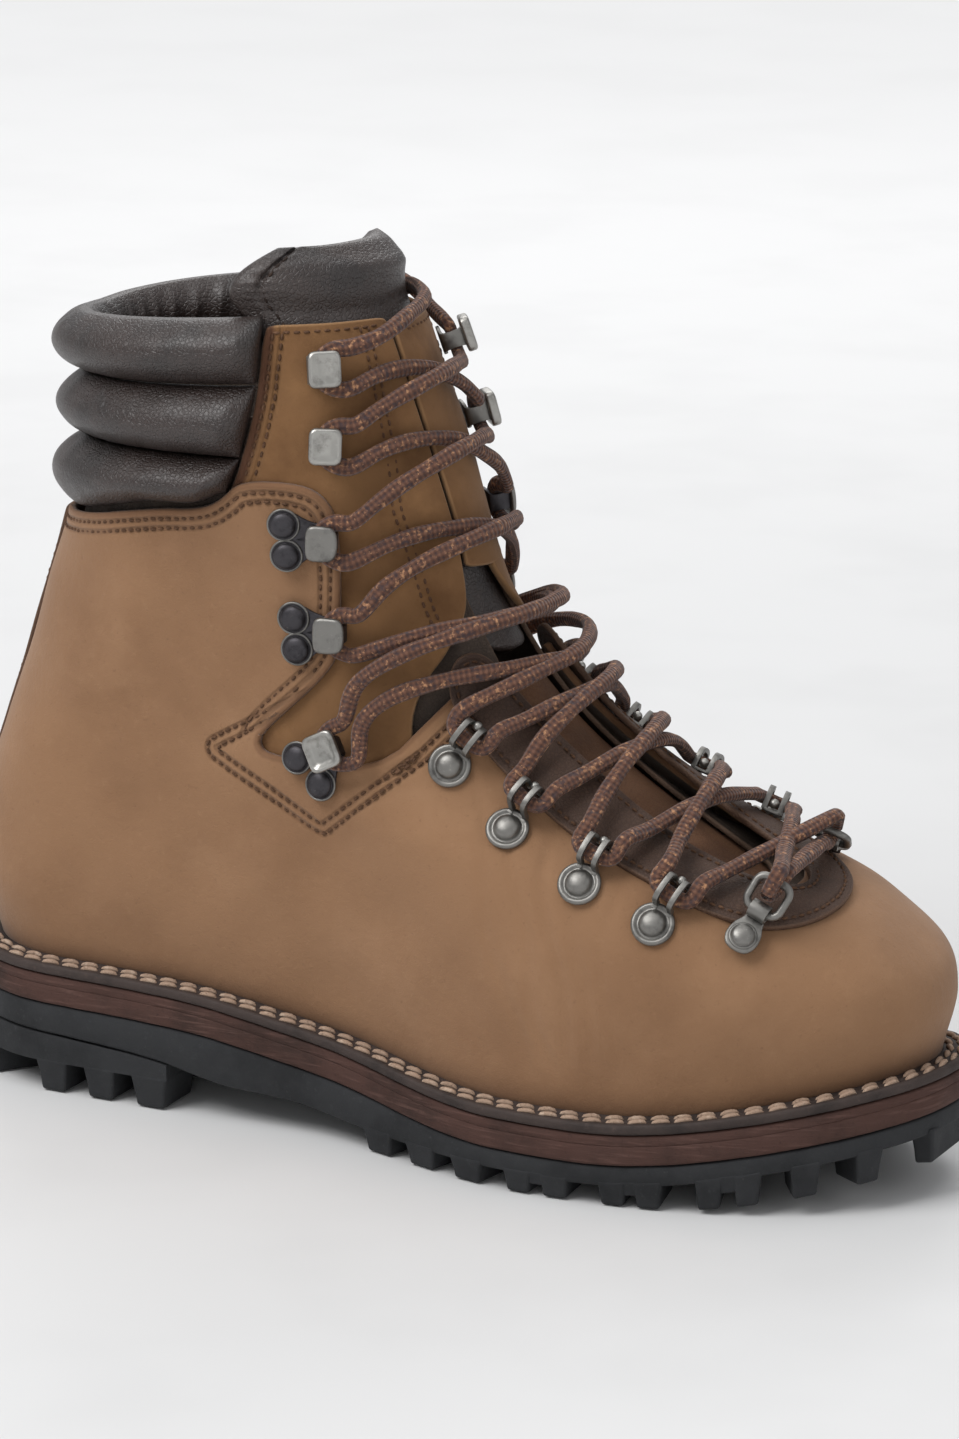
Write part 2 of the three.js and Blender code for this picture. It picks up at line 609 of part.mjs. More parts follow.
const SHAFT_OPENING = [5.2, 8.9]; // stations between which the front of the lining is open

function shaftCutter(extra) {
  const at = (u, v, side) => {
    const t = SHAFT_OPENING[0] + (SHAFT_OPENING[1] - SHAFT_OPENING[0]) * v;
    const from = atWidth(t, acrossY(-10) - extra).angle;
    const to = atWidth(t, acrossY(-10) + FLAP_GAP + extra + 4).angle;
    return layerPoint(t, from + (to - from) * u, side ? CUT_OUT : -CUT_OUT);
  };
  return sheet(2, 8, at);
}

function lining() {
  return cut(lastLayer(liningInner, liningOuter, [0, 11]), [throatCutter(1, 14, 100), shaftCutter(4)]);
}

// ---- Collar and tongue --------------------------------------------------------------------------

const ROLL_SEAMS = [[5.98, 6.6], [6.72, 6.97], [7.38, 7.5], [8, 8]]; // station at the heel, at the flap

const quarterTop = (x) => upZ(heightAt(QUARTER_EDGE.slice(0, 5).map(([a, z]) => [alongX(a), z]), x));

function rollSeam(k, u) {
  const away = Math.abs(2 * u - 1);
  const [back, front] = ROLL_SEAMS[k];
  const t = back + (front - back) * away;
  if (k) return t;
  const x = lastPoint(t, angleAtX(t, alongX(heightAt(FLAP_REAR, t)), -1) * away).x;
  return onSide(x, quarterTop(x) + 5 * FIT_GAP, -1).t;
}

function collarRoll(k) {
  const inset = 0.012;
  const top = k === 2;
  const at = (u, v, side) => {
    const low = rollSeam(k, u) + inset;
    const high = rollSeam(k + 1, u) - inset;
    const t = low + (high - low) * v;
    const end = alongX(heightAt(FLAP_REAR, t)) - FIT_GAP * 2;
    const reach = angleAtX(t, end, -1);
    const angle = (1 - 2 * u) * reach;
    const round = Math.sqrt(Math.max(0, 1 - (2 * v - 1) ** 2));
    const inside = top ? liningOuter - (LINING + TOP_ROLL_DEPTH) * round : interlayerInner + ROLL_BACK_GAP;
    const outside = interlayerOuter + 0.5 + (ROLL_PROUD - interlayerOuter) * round;
    return layerPoint(t, angle, side ? outside : inside);
  };
  return sheet(COLUMNS / 2 + 4, 5, at);
}

function tongueLower() {
  const at = (u, v, side) => {
    const x = alongX(31 + 81 * u);
    const half = acrossY(22) * Math.sqrt(1 - 0.75 * u ** 4);
    const place = onInstep(x, throatY(x) + (2 * v - 1) * half);
    return placePoint(place, side ? tongueOuter : tongueOuter - TONGUE_LEATHER);
  };
  return sheet(12, 6, at);
}

const TONGUE_FOOT = 5.7;

function tongueUpper() {
  const at = (u, v, side) => {
    const t = TONGUE_FOOT + (TONGUE_TIP - TONGUE_FOOT) * v;
    const outerEdge = -26 - 24 * v ** 0.5;
    const innerEdge = 24 + 8 * v;
    const tip = 1 - 0.42 * Math.max(0, (v - 0.72) / 0.28) ** 2;
    const w = acrossY(outerEdge + (innerEdge - outerEdge) * u) * tip;
    const plump = Math.sqrt(Math.max(0, 1 - (2 * u - 1) ** 4)) * Math.min(1, 0.35 + 3 * v, 0.3 + 5 * (1 - v));
    const depth = TONGUE_LEATHER + (TONGUE_PAD - TONGUE_LEATHER) * plump;
    return placePoint(atWidth(t, w), side ? tongueOuter : tongueOuter - depth);
  };
  return sheet(10, 12, at);
}

// ---- Lacing hardware ----------------------------------------------------------------------------

// Local axes of a fitting: x towards the lacing, y up the boot on the outer side, z out of the leather.
function fittingFrame(place, towards, turn = 0) {
  const origin = placePoint(place, 0);
  const normal = lastNormal(place.t, place.angle);
  const ahead = towards.clone().sub(origin);
  ahead.addScaledVector(normal, -ahead.dot(normal)).normalize();
  ahead.applyAxisAngle(normal, turn);
  const up = normal.clone().cross(ahead);
  return new THREE.Matrix4().makeBasis(ahead, up, normal).setPosition(origin);
}

const HOOKS = [
  { row: 5, kind: 'deep', x: -15, z: 113.6, far: null, turn: 35, rivets: [[-11, 1.6], [-7.2, -7.7]] },
  { row: 6, kind: 'riveted', x: -15.9, z: 146.3, far: 50, turn: 8, rivets: [[-11.8, 3], [-10.8, -5.6]] },
  { row: 7, kind: 'riveted', x: -18.5, z: 172.3, far: 34, turn: 4, rivets: [[-11.8, 3], [-10.8, -5.6]] },
  { row: 8, kind: 'top', x: -19, z: 197.6, far: 25, turn: 0, rivets: [] },
  { row: 9, kind: 'top', x: -21.5, z: 217.6, far: 21, turn: 0, rivets: [] },
];
const EYELETS = [
  { row: 1, rivet: [83.1, 35.2], ball: [86, 27.3] },
  { row: 2, rivet: [60.9, 37.6], ball: [63, 28.4] },
  { row: 3, rivet: [37.1, 35.3], ball: [41.5, 27.4] },
  { row: 4, rivet: [18.3, 32.9], ball: [23.5, 26.7] },
];
const TOE_CLIP = { rivet: [105.5, 28], towards: [107.5, 18] };

const hookBase = (kind) => (kind === 'top' ? interlayerOuter : 0) + HARDWARE_GAP;
const hookLaceHeight = (kind) => hookBase(kind) + HOOK_PLATE + laceRadius + 2 * FIT_GAP;

function hookFrame(hook, side) {
  let place = onSide(alongX(hook.x), upZ(hook.z), side);
  if (side > 0 && hook.far !== null) place = atWidth(onSide(alongX(hook.x), upZ(hook.z), -1).t, acrossY(hook.far));
  const ahead = layerPoint(place.t, place.angle - side * 0.12, 0);
  return fittingFrame(place, ahead, -side * THREE.MathUtils.degToRad(hook.turn));
}

function rivetHead(x, y, base, radius) {
  const profile = [[0, 0], [radius, 0], [radius, 0.9], [radius * 0.7, 1.8], [0, 2.1]];
  return new THREE.LatheGeometry(profile.map(([r, z]) => new THREE.Vector2(r, z)), 8)
    .rotateX(Math.PI / 2).translate(x, y, base);
}

function hookShape(hook, side) {
  const base = hookBase(hook.kind);
  const plateTop = base + HOOK_PLATE;
  const capLow = plateTop + LACE_DIAMETER + 4 * FIT_GAP;
  const neck = HOOK_NECK;
  const cap = HOOK_CAP;
  const shapes = [
    block(-4, neck.x + neck.half, -4, 4, base, plateTop),
    block(neck.x - neck.half, neck.x + neck.half, -neck.height / 2, neck.height / 2, plateTop - 0.3, capLow + 0.3),
    block(cap.back, cap.front, -cap.height / 2, cap.height / 2, capLow, capLow + cap.thickness),
  ];
  for (const [x, y] of hook.rivets) {
    const up = -side * y;
    shapes.push(disc(x, up, base, plateTop, RIVET_RADIUS + 0.9));
    shapes.push(rivetHead(x, up, plateTop - 0.2, RIVET_RADIUS));
    const arm = new THREE.BoxGeometry(Math.hypot(x, y), 6, HOOK_PLATE).rotateZ(Math.atan2(up, x));
    shapes.push(arm.translate(x / 2, up / 2, (base + plateTop) / 2));
  }
  return join(shapes);
}

const fromThroat = (x, a) => onInstep(alongX(x), throatY(alongX(x)) + acrossY(a));

function eyeletPlaces(eyelet, side) {
  const [x0, a0] = eyelet.rivet;
  const [x1, a1] = eyelet.ball;
  const place = (f) => fromThroat(x1 + (x0 - x1) * f, side * (a1 + (a0 - a1) * f));
  const ball = place(0);
  const tip = placePoint(ball, 0);
  const reach = bisect(0.3, 2.5, (f) => placePoint(place(f), 0).distanceTo(tip) < EYELET_REACH);
  return { rivet: place(reach), ball };
}

function eyeletLayout(eyelet, side) {
  const places = eyeletPlaces(eyelet, side);
  const frame = fittingFrame(places.rivet, placePoint(places.ball, 0));
  const tip = placePoint(places.ball, facingTop + 2 * FIT_GAP).applyMatrix4(frame.clone().invert());
  const laceX = tip.x - ARM_WIDTH - laceRadius - FIT_GAP - 1;
  const laceZ = Math.max(tip.z, FIT_GAP) + laceRadius + 1.2;
  const archLow = laceZ + laceRadius + 2 * FIT_GAP;
  return { frame, tip, laceX, laceZ, archLow };
}

function eyeletShape(layout) {
  const { tip, archLow } = layout;
  const base = HARDWARE_GAP;
  const thick = ARM_WIDTH;
  const shapes = [disc(0, 0, base, base + 1.1, EYELET_RADIUS, 12), rivetHead(0, 0, base + 0.9, EYELET_RIVET_RADIUS)];
  const outline = [[3.8, base + 0.2], [EYELET_RADIUS - 0.7, base + 0.2], [EYELET_RADIUS - 0.9, archLow - 2],
    [EYELET_RADIUS, archLow], [tip.x - 2.2, archLow], [tip.x - 0.9, archLow - 1.4], [tip.x - 0.7, tip.z],
    [tip.x + 0.9, tip.z], [tip.x + 0.7, archLow - 0.9], [tip.x - 1.4, archLow + thick],
    [EYELET_RADIUS - 0.9, archLow + thick], [3.6, archLow - 1.2]];
  for (const y of [-ARM_SPACING / 2, ARM_SPACING / 2]) {
    const shape = new THREE.Shape(outline.map(([x, z]) => new THREE.Vector2(x, z)));
    const arm = new THREE.ExtrudeGeometry(shape, { depth: ARM_WIDTH, bevelEnabled: false });
    shapes.push(arm.rotateX(Math.PI / 2).translate(0, y + ARM_WIDTH / 2, 0));
  }
  shapes.push(block(tip.x - 0.8, tip.x + 1, -ARM_SPACING / 2, ARM_SPACING / 2, tip.z, tip.z + 1));
  return join(shapes);
}

const ballCentre = ({ tip }) => new THREE.Vector3(tip.x + 0.1, 0, tip.z + 1 + FIT_GAP + BALL_RADIUS);

function clipLayout(side) {
  const rivet = fromThroat(TOE_CLIP.rivet[0], side * TOE_CLIP.rivet[1]);
  const ahead = fromThroat(TOE_CLIP.towards[0], side * TOE_CLIP.towards[1]);
  const frame = fittingFrame(rivet, placePoint(ahead, 0));
  const barrel = new THREE.Vector3(7.4, 0, facingTop + 2 * FIT_GAP + 2.6);
  return { frame, barrel };
}

const barrelBore = RING_WIRE + FIT_GAP + 0.15;
const barrelWall = 1;
const barrelLength = 5.4;

function toeClip({ barrel }) {
  const plateLow = facingTop + 2 * FIT_GAP;
  const outer = barrelBore + barrelWall;
  const tube = (r, length) => new THREE.CylinderGeometry(r, r, length, 10).translate(barrel.x, 0, barrel.z);
  const plateSolid = block(-4.2, barrel.x - barrelBore, -barrelLength / 2, barrelLength / 2, plateLow, plateLow + 1.2);
  const head = rivetHead(-0.6, 0, plateLow + 1, RIVET_RADIUS - 0.4);
  const stem = disc(-0.6, 0, HARDWARE_GAP, plateLow + 0.5, 2.6);
  return cut(join([plateSolid, head, stem, tube(outer, barrelLength)]), [tube(barrelBore, barrelLength * 2)]);
}

// A D shaped wire ring: its straight side turns in the barrel of the clip.
function toeRing() {
  const corner = 2.6;
  const corners = [[0, 1], [RING_REACH, 1], [RING_REACH, -1], [0, -1]];
  const centres = [];
  corners.forEach(([x, sign], k) => {
    const cx = x === 0 ? corner : RING_REACH - corner;
    const cy = sign * (RING_HALF_WIDTH - corner);
    const start = [Math.PI, Math.PI / 2, 0, -Math.PI / 2][k];
    for (let i = 0; i <= 2; i += 1) {
      const angle = start - (Math.PI / 2) * i / 2;
      centres.push(new THREE.Vector3(cx + corner * Math.cos(angle), cy + corner * Math.sin(angle), 0));
    }
  });
  const count = centres.length;
  const across = (i) => {
    const along = centres[(i + 1) % count].clone().sub(centres[(i + count - 1) % count]);
    return new THREE.Vector3(-along.y, along.x, 0).normalize();
  };
  return tubeLoop(centres, across, () => new THREE.Vector3(0, 0, 1), RING_WIRE, 6);
}

// ---- The lace -----------------------------------------------------------------------------------

const hooksBySide = (side) => HOOKS.map((hook) => ({ row: hook.row, hook, frame: hookFrame(hook, side) }));
const eyeletsBySide = (side) => EYELETS.map((eyelet) => ({ row: eyelet.row, ...eyeletLayout(eyelet, side) }));

function anchorsOf(side) {
  const anchors = [{ row: 0, ...clipLayout(side), ring: true }];
  for (const e of eyeletsBySide(side)) anchors[e.row] = e;
  for (const h of hooksBySide(side)) anchors[h.row] = h;
  return anchors;
}

// The lace round one anchor, from below to above, in world coordinates.
function turnRound(anchor, side) {
  let points;
  if (anchor.ring) {
    const { barrel } = anchor;
    const along = new THREE.Vector2(Math.cos(RING_TILT), Math.sin(RING_TILT));
    const through = new THREE.Vector2(-along.y, along.x);
    const off = RING_WIRE + 3 * FIT_GAP + laceRadius;
    const at = (a, b) => [barrel.x + along.x * a + through.x * b, 0, barrel.z + along.y * a + through.y * b];
    const hole = RING_REACH / 2;
    points = [at(RING_REACH + 3, -off), at(RING_REACH, -off), at(hole + 0.6, -2.4), at(hole, 0), at(hole + 0.6, 2.4),
      at(RING_REACH, off), at(RING_REACH + 3, off)];
  } else if (anchor.hook) {
    const z = hookLaceHeight(anchor.hook.kind);
    const y = HOOK_NECK.height / 2 + laceRadius + 3 * FIT_GAP;
    const back = HOOK_NECK.x - HOOK_NECK.half - laceRadius - 3 * FIT_GAP;
    points = [[7.5, -y, z], [3.4, -y, z], [back + 0.6, -y * 0.62, z], [back, 0, z], [back + 0.6, y * 0.62, z],
      [3.4, y, z], [7.5, y, z]];
  } else {
    const { tip, laceX, laceZ } = anchor;
    const y = ARM_SPACING / 2 + ARM_WIDTH / 2 + laceRadius + FIT_GAP + 0.2;
    points = [[tip.x + 2.6, -y, laceZ], [laceX + 1.2, -y, laceZ], [laceX, -2, laceZ], [laceX, 2, laceZ],
      [laceX + 1.2, y, laceZ], [tip.x + 2.6, y, laceZ]];
  }
  const world = points.map(([x, y, z]) => new THREE.Vector3(x, -side * y, z).applyMatrix4(anchor.frame));
  return world;
}

// Nearest place of the last to a point, by walking downhill from a start place.
function nearestPlace(point, start) {
  let { t, angle } = start;
  for (let step = 0.4; step > 0.002; step *= 0.6) {
    let moved = true;
    while (moved) {
      moved = false;
      for (const [dt, da] of [[step, 0], [-step, 0], [0, step * 0.4], [0, -step * 0.4]]) {
        const nt = Math.min(Math.max(t + dt, 0), TONGUE_TIP);
        if (lastPoint(nt, angle + da).distanceTo(point) < lastPoint(t, angle).distanceTo(point) - 1e-6) {
          t = nt;
          angle += da;
          moved = true;
        }
      }
    }
  }
  return { t, angle };
}

// How far a place lies from the front along its loop, negative on the outer side.
function widthOf({ t, angle }) {
  const steps = 12;
  let width = 0;
  for (let k = 0; k < steps; k += 1) {
    const a = Math.PI + (angle - Math.PI) * k / steps;
    const b = Math.PI + (angle - Math.PI) * (k + 1) / steps;
    width += lastPoint(t, a).distanceTo(lastPoint(t, b));
  }
  return width * Math.sign(angle - Math.PI);
}

const STRAND_STEPS = 6;
const instepRest = facingTop + laceRadius + 4 * FIT_GAP;
const shaftRest = interlayerOuter + laceRadius + 4 * FIT_GAP;
const FACING_END = 5.95; // the facing reaches up to this station at the front
const crossingBump = (f) => Math.max(0, Math.sin(Math.PI * f)) ** 1.5;

// A strand over the instep: straight, but held off the leather.
function instepStrand(from, to, lift) {
  const points = [];
  let place = nearestPlace(from, { t: 4, angle: Math.PI });
  for (let k = 1; k < STRAND_STEPS; k += 1) {
    const f = k / STRAND_STEPS;
    const point = from.clone().lerp(to, f);
    place = nearestPlace(point, place);
    const normal = lastNormal(place.t, place.angle);
    const height = point.clone().sub(lastPoint(place.t, place.angle)).dot(normal);
    const wanted = instepRest + lift * crossingBump(f);
    points.push(point.addScaledVector(normal, Math.max(0, wanted - height)));
  }
  return points;
}

// A strand round the front of the shaft, which it crosses at the station called crest.
function shaftStrand(from, to, lift, crest) {
  const a = nearestPlace(from, { t: 6, angle: Math.PI });
  const b = nearestPlace(to, { t: 6, angle: Math.PI });
  const [wa, wb] = [widthOf(a), widthOf(b)];
  const middle = wa / (wa - wb);
  const bend = (crest - a.t - (b.t - a.t) * middle) / (4 * middle * (1 - middle));
  const points = [];
  for (let k = 1; k <= STRAND_STEPS; k += 1) {
    const f = k / (STRAND_STEPS + 1);
    const t = a.t + (b.t - a.t) * f + bend * 4 * f * (1 - f);
    const rest = t > FACING_END ? shaftRest : instepRest;
    const end = f < 0.5 ? from.distanceTo(placePoint(a, 0)) : to.distanceTo(placePoint(b, 0));
    const away = Math.min(1, 3.5 * Math.min(f, 1 - f));
    const height = end + (rest - end) * ease(away) + lift * crossingBump(f);
    points.push(placePoint(atWidth(t, wa + (wb - wa) * f), height));
  }
  return points;
}

const CROSSING_LIFT = LACE_DIAMETER + 0.8;
const CRESTS = [5.45, 5.85, 6.55, 7.15, 7.6]; // where the strands of the last five rows cross the front

// The two ends go over the collar on the inner side and hang inside the shaft: station, width, height.
const END_FROM_OUTER = [[7.9, -20, 4.6], [8.02, -8, 3], [8.12, 8, 0.5], [8.17, 22, -2.6], [8.15, 31, -4.6],
  [7.98, 35.5, -9.1], [7.6, 36.5, -9.4], [7.1, 37, -9.2], [6.7, 37.5, -9.2], [6.3, 38, -9.2]];
const END_FROM_INNER = [[7.9, 31, 0.5], [8.06, 38, -0.6], [8.17, 42.5, -3.6], [8.0, 44.5, -9], [7.5, 45.5, -9.3],
  [7.0, 46, -9.2], [6.5, 46.5, -9.2], [6.1, 47, -9.2]];
const AGLET = { radius: 1.5, length: 14 };

function lacePath() {
  const anchors = { '-1': anchorsOf(-1), 1: anchorsOf(1) };
  const climb = (startSide, lifted) => {
    const points = [];
    let side = startSide;
    let previous = null;
    for (let row = 0; row <= 9; row += 1) {
      const turn = turnRound(anchors[side][row], side);
      const lift = (row + lifted) % 2 ? CROSSING_LIFT : 0;
      if (row > 4) points.push(...shaftStrand(previous, turn[0], lift, CRESTS[row - 5]));
      else if (row > 0) points.push(...instepStrand(previous, turn[0], lift));
      points.push(...turn);
      previous = turn[turn.length - 1];
      side = -side;
    }
    return points;
  };
  const left = climb(-1, 0);
  const right = climb(1, 1);
  const bar = instepStrand(left[0], right[0], 0);
  const endRoute = (list) => list.map(([t, w, out]) => placePoint(atWidth(t, acrossY(w)), out));
  const innerEnd = endRoute(END_FROM_INNER);
  const outerEnd = endRoute(END_FROM_OUTER);
  const kept = left.slice(0, -2);
  return [...innerEnd.reverse(), ...kept.reverse(), ...bar, ...right, ...outerEnd];
}

// A curve that is read at its own points, so that tight turns keep theirs.
class Route extends THREE.Curve {
  constructor(points) {
    super();
    this.points = points;
  }

  getPoint(share, target = new THREE.Vector3()) {
    return target.copy(this.points[Math.round(share * (this.points.length - 1))]);
  }

  getPointAt(share, target) {
    return this.getPoint(share, target);
  }

  getTangent(share, target = new THREE.Vector3()) {
    const last = this.points.length - 1;
    const k = Math.round(share * last);
    return target.copy(this.points[Math.min(k + 1, last)]).sub(this.points[Math.max(k - 1, 0)]).normalize();
  }

  getTangentAt(share, target) {
    return this.getTangent(share, target);
  }
}

function ringSection(radius, sides) {
  const corners = [];
  for (let k = 0; k < sides; k += 1) {
    const angle = 2 * Math.PI * k / sides;
    corners.push(new THREE.Vector2(radius * Math.cos(angle), radius * Math.sin(angle)));
  }
  return new THREE.Shape(corners);
}

const lacePoints = lacePath();

function lace() {
  const route = new Route(lacePoints);
  const steps = route.points.length - 1;
  return new THREE.ExtrudeGeometry(ringSection(laceRadius, 5), { steps, extrudePath: route, bevelEnabled: false });
}

// A sleeve just past an end of the lace, in line with its last stretch.
function agletFrame(end, before) {
  const along = end.clone().sub(before).normalize();
  const turn = new THREE.Quaternion().setFromUnitVectors(new THREE.Vector3(0, 0, 1), along);
  const middle = end.clone().addScaledVector(along, AGLET.length / 2 + FIT_GAP);
  return new THREE.Matrix4().compose(middle, turn, new THREE.Vector3(1, 1, 1));
}

const aglet = () => disc(0, 0, -AGLET.length / 2, AGLET.length / 2, AGLET.radius);

// ---- Assembly -----------------------------------------------------------------------------------

const finishes = {
  rubber: { color: 0x2b2c2f, roughness: 0.9, metalness: 0 },
  midsole: { color: 0x4d3530, roughness: 0.85, metalness: 0 },
  welt: { color: 0x3b302d, roughness: 0.75, metalness: 0 },
  thread: { color: 0xc9b49a, roughness: 0.9, metalness: 0 },
  board: { color: 0xa88a66, roughness: 0.95, metalness: 0 },
  cork: { color: 0x9a7348, roughness: 0.95, metalness: 0 },
  steel: { color: 0x9a9ca0, roughness: 0.35, metalness: 1 },
  nubuck: { color: 0x97714f, roughness: 0.9, metalness: 0 },
  shaft: { color: 0x8a6239, roughness: 0.85, metalness: 0 },
  facing: { color: 0x4e382d, roughness: 0.7, metalness: 0 },
  collar: { color: 0x3a322e, roughness: 0.55, metalness: 0 },
  lining: { color: 0x3d332d, roughness: 0.8, metalness: 0 },
  pewter: { color: 0xa9a9a6, roughness: 0.35, metalness: 1 },
  gunmetal: { color: 0x3c3c40, roughness: 0.4, metalness: 1 },
  lace: { color: 0x70503f, roughness: 0.9, metalness: 0 },
};

const boot = new THREE.Group();

function add(name, geometry, finish, matrix) {
  const mesh = new THREE.Mesh(geometry, new THREE.MeshStandardMaterial(finishes[finish]));
  mesh.name = name;
  if (matrix) matrix.decompose(mesh.position, mesh.quaternion, mesh.scale);
  boot.add(mesh);
}

add('outsole', outsole(), 'rubber');
add('heel_block', heelBlock(), 'rubber');
add('midsole', midsole(), 'midsole');
add('welt', welt(), 'welt');
STITCH_ROWS.forEach((out, k) => add(`welt_stitch_${k + 1}`, weltSeam(out), 'thread'));
add('cork_filler', corkFiller(), 'cork');
add('shank', shankSlab(0), 'steel');
add('insole_board', insoleBoard(), 'board');
add('footbed', footbed(), 'board');
add('upper_shell', upperShell(), 'nubuck');
add('backstay', backstay(), 'facing');
add('facing_strip', facing(), 'facing');
add('shaft_flap_outer', flap(-1), 'shaft');
add('shaft_flap_inner', flap(1), 'shaft');
add('toe_puff', stiffener([0, 3], [13, 23]), 'board');
add('heel_counter', stiffener([0, 5], [-5, 5]), 'board');
add('lining', lining(), 'lining');
['bottom', 'middle', 'top'].forEach((level, k) => add(`collar_roll_${level}`, collarRoll(k), 'collar'));
add('tongue_lower', tongueLower(), 'facing');
add('tongue_upper', tongueUpper(), 'collar');

for (const [side, name] of [[-1, 'outer'], [1, 'inner']]) {
  for (const hook of HOOKS) {
    add(`hook_${hook.kind}_${name}_${hook.row}`, hookShape(hook, side), 'pewter', hookFrame(hook, side));
  }
  for (const eyelet of EYELETS) {
    const layout = eyeletLayout(eyelet, side);
    add(`eyelet_${name}_${eyelet.row}`, eyeletShape(layout), 'pewter', layout.frame);
    const ball = new THREE.OctahedronGeometry(BALL_RADIUS, 2);
    const centre = layout.frame.clone().multiply(new THREE.Matrix4().setPosition(ballCentre(layout)));
    add(`eyelet_ball_${name}_${eyelet.row}`, ball, 'pewter', centre);
  }
  const clip = clipLayout(side);
  add(`toe_clip_${name}`, toeClip(clip), 'pewter', clip.frame);
  const tilt = new THREE.Matrix4().makeRotationY(-RING_TILT).setPosition(clip.barrel);
  add(`toe_ring_${name}`, toeRing(), 'pewter', clip.frame.clone().multiply(tilt));
}
add('lace', lace(), 'lace');
add('aglet_1', aglet(), 'steel', agletFrame(lacePoints[0], lacePoints[1]));
add('aglet_2', aglet(), 'steel', agletFrame(lacePoints.at(-1), lacePoints.at(-2)));

// The box of the boot stands on the origin.
const box = new THREE.Box3().setFromObject(boot, true);
const middle = box.getCenter(new THREE.Vector3());
for (const mesh of boot.children) mesh.position.sub(new THREE.Vector3(middle.x, middle.y, box.min.z));

export default boot;
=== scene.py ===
# Looks of a laced leather mountaineering boot, built round the frame of its CAD model.
# Lengths are millimetres in the boot's own axes: +X to the toe, +Y to the inner side, +Z up.
# place() turns them into metres in the row frame.
import json
import math

import bpy
import numpy as np
from mathutils import Matrix, Vector

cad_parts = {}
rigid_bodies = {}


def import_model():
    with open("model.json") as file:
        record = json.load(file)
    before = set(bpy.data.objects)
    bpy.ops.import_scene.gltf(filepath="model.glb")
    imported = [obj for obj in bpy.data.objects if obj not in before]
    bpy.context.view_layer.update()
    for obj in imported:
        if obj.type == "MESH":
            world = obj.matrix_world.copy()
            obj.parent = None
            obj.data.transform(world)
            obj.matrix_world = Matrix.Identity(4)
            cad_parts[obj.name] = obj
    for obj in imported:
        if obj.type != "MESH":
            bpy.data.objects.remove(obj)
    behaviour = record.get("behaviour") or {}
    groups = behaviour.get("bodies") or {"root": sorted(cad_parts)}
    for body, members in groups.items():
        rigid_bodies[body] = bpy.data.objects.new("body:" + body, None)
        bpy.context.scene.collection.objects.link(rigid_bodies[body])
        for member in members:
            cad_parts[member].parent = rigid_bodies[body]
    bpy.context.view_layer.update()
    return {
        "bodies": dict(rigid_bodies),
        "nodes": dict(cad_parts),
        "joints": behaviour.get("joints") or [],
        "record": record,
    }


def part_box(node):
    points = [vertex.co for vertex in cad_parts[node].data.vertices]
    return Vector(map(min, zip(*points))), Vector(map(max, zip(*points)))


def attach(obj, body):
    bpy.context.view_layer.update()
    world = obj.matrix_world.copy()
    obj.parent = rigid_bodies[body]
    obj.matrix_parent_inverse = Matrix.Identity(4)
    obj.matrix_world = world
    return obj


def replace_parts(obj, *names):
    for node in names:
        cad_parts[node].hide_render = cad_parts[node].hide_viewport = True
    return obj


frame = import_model()

MM = 0.001
BODY = "boot"
SIDES = ((-1, "outer"), (1, "inner"))
SEED = 7
rng = np.random.default_rng(SEED)

# ---- Dimensions shared with the CAD model --------------------------------------------------------

UPPER = 2.2
INTERLAYER_TOP = -2.5
INTERLAYER_BACK = -4.3
LINING_TOP = -4.6
LINING_BACK = -6.2
FACING_BACK = 0.3
FACING_TOP = 2.2
TONGUE_TOP = -7.1
ROLL_PROUD = 6.2
TOP_ROLL_DEPTH = 3.4
WELT_EDGE = 8.0
WELT_THICKNESS = 3.0
SEAM_ROWS = (2.3, 5.3)
# Rows of thread on the upper, counted in millimetres from the edge that they follow.
SEAM_PAIR = (2.6, 5.3)
VEE_ROWS = (0.2, 3.0)
FACING_ROW = 2.4
STAY_ROW = 2.0
FLAP_TOP_ROW = 2.2
MIDSOLE = 8.6
LAYER_GAP = 0.3
HEEL_BREAST = -69.0
HEEL_LUG_DEPTH = 9.0
WELT_TOP = [(-150, 39.5), (-110, 38.5), (-60, 36.5), (-20, 30.5), (40, 23.5), (80, 24), (155, 38)]
OUTSOLE_UNDERSIDE = [(-150, 19), (-100, 17), (-72, 14.5), (-52, 10.5), (-30, 9.2), (-8, 6.3), (40, 5.6),
                     (80, 6),
                     (155, 20)]
TOE_GROUND = [(20, 0), (84, 0), (158, 12)]
THROAT_LINE = [(20, 2), (60, 1), (110, -2.5)]
COLLAR_TOP = 8.0
TONGUE_TIP = 9.0
TONGUE_FOOT = 5.7
HEEL_SQUARE = 2.15
SETTLE_STATIONS = 2.4
FULL_WAIST = 0.5

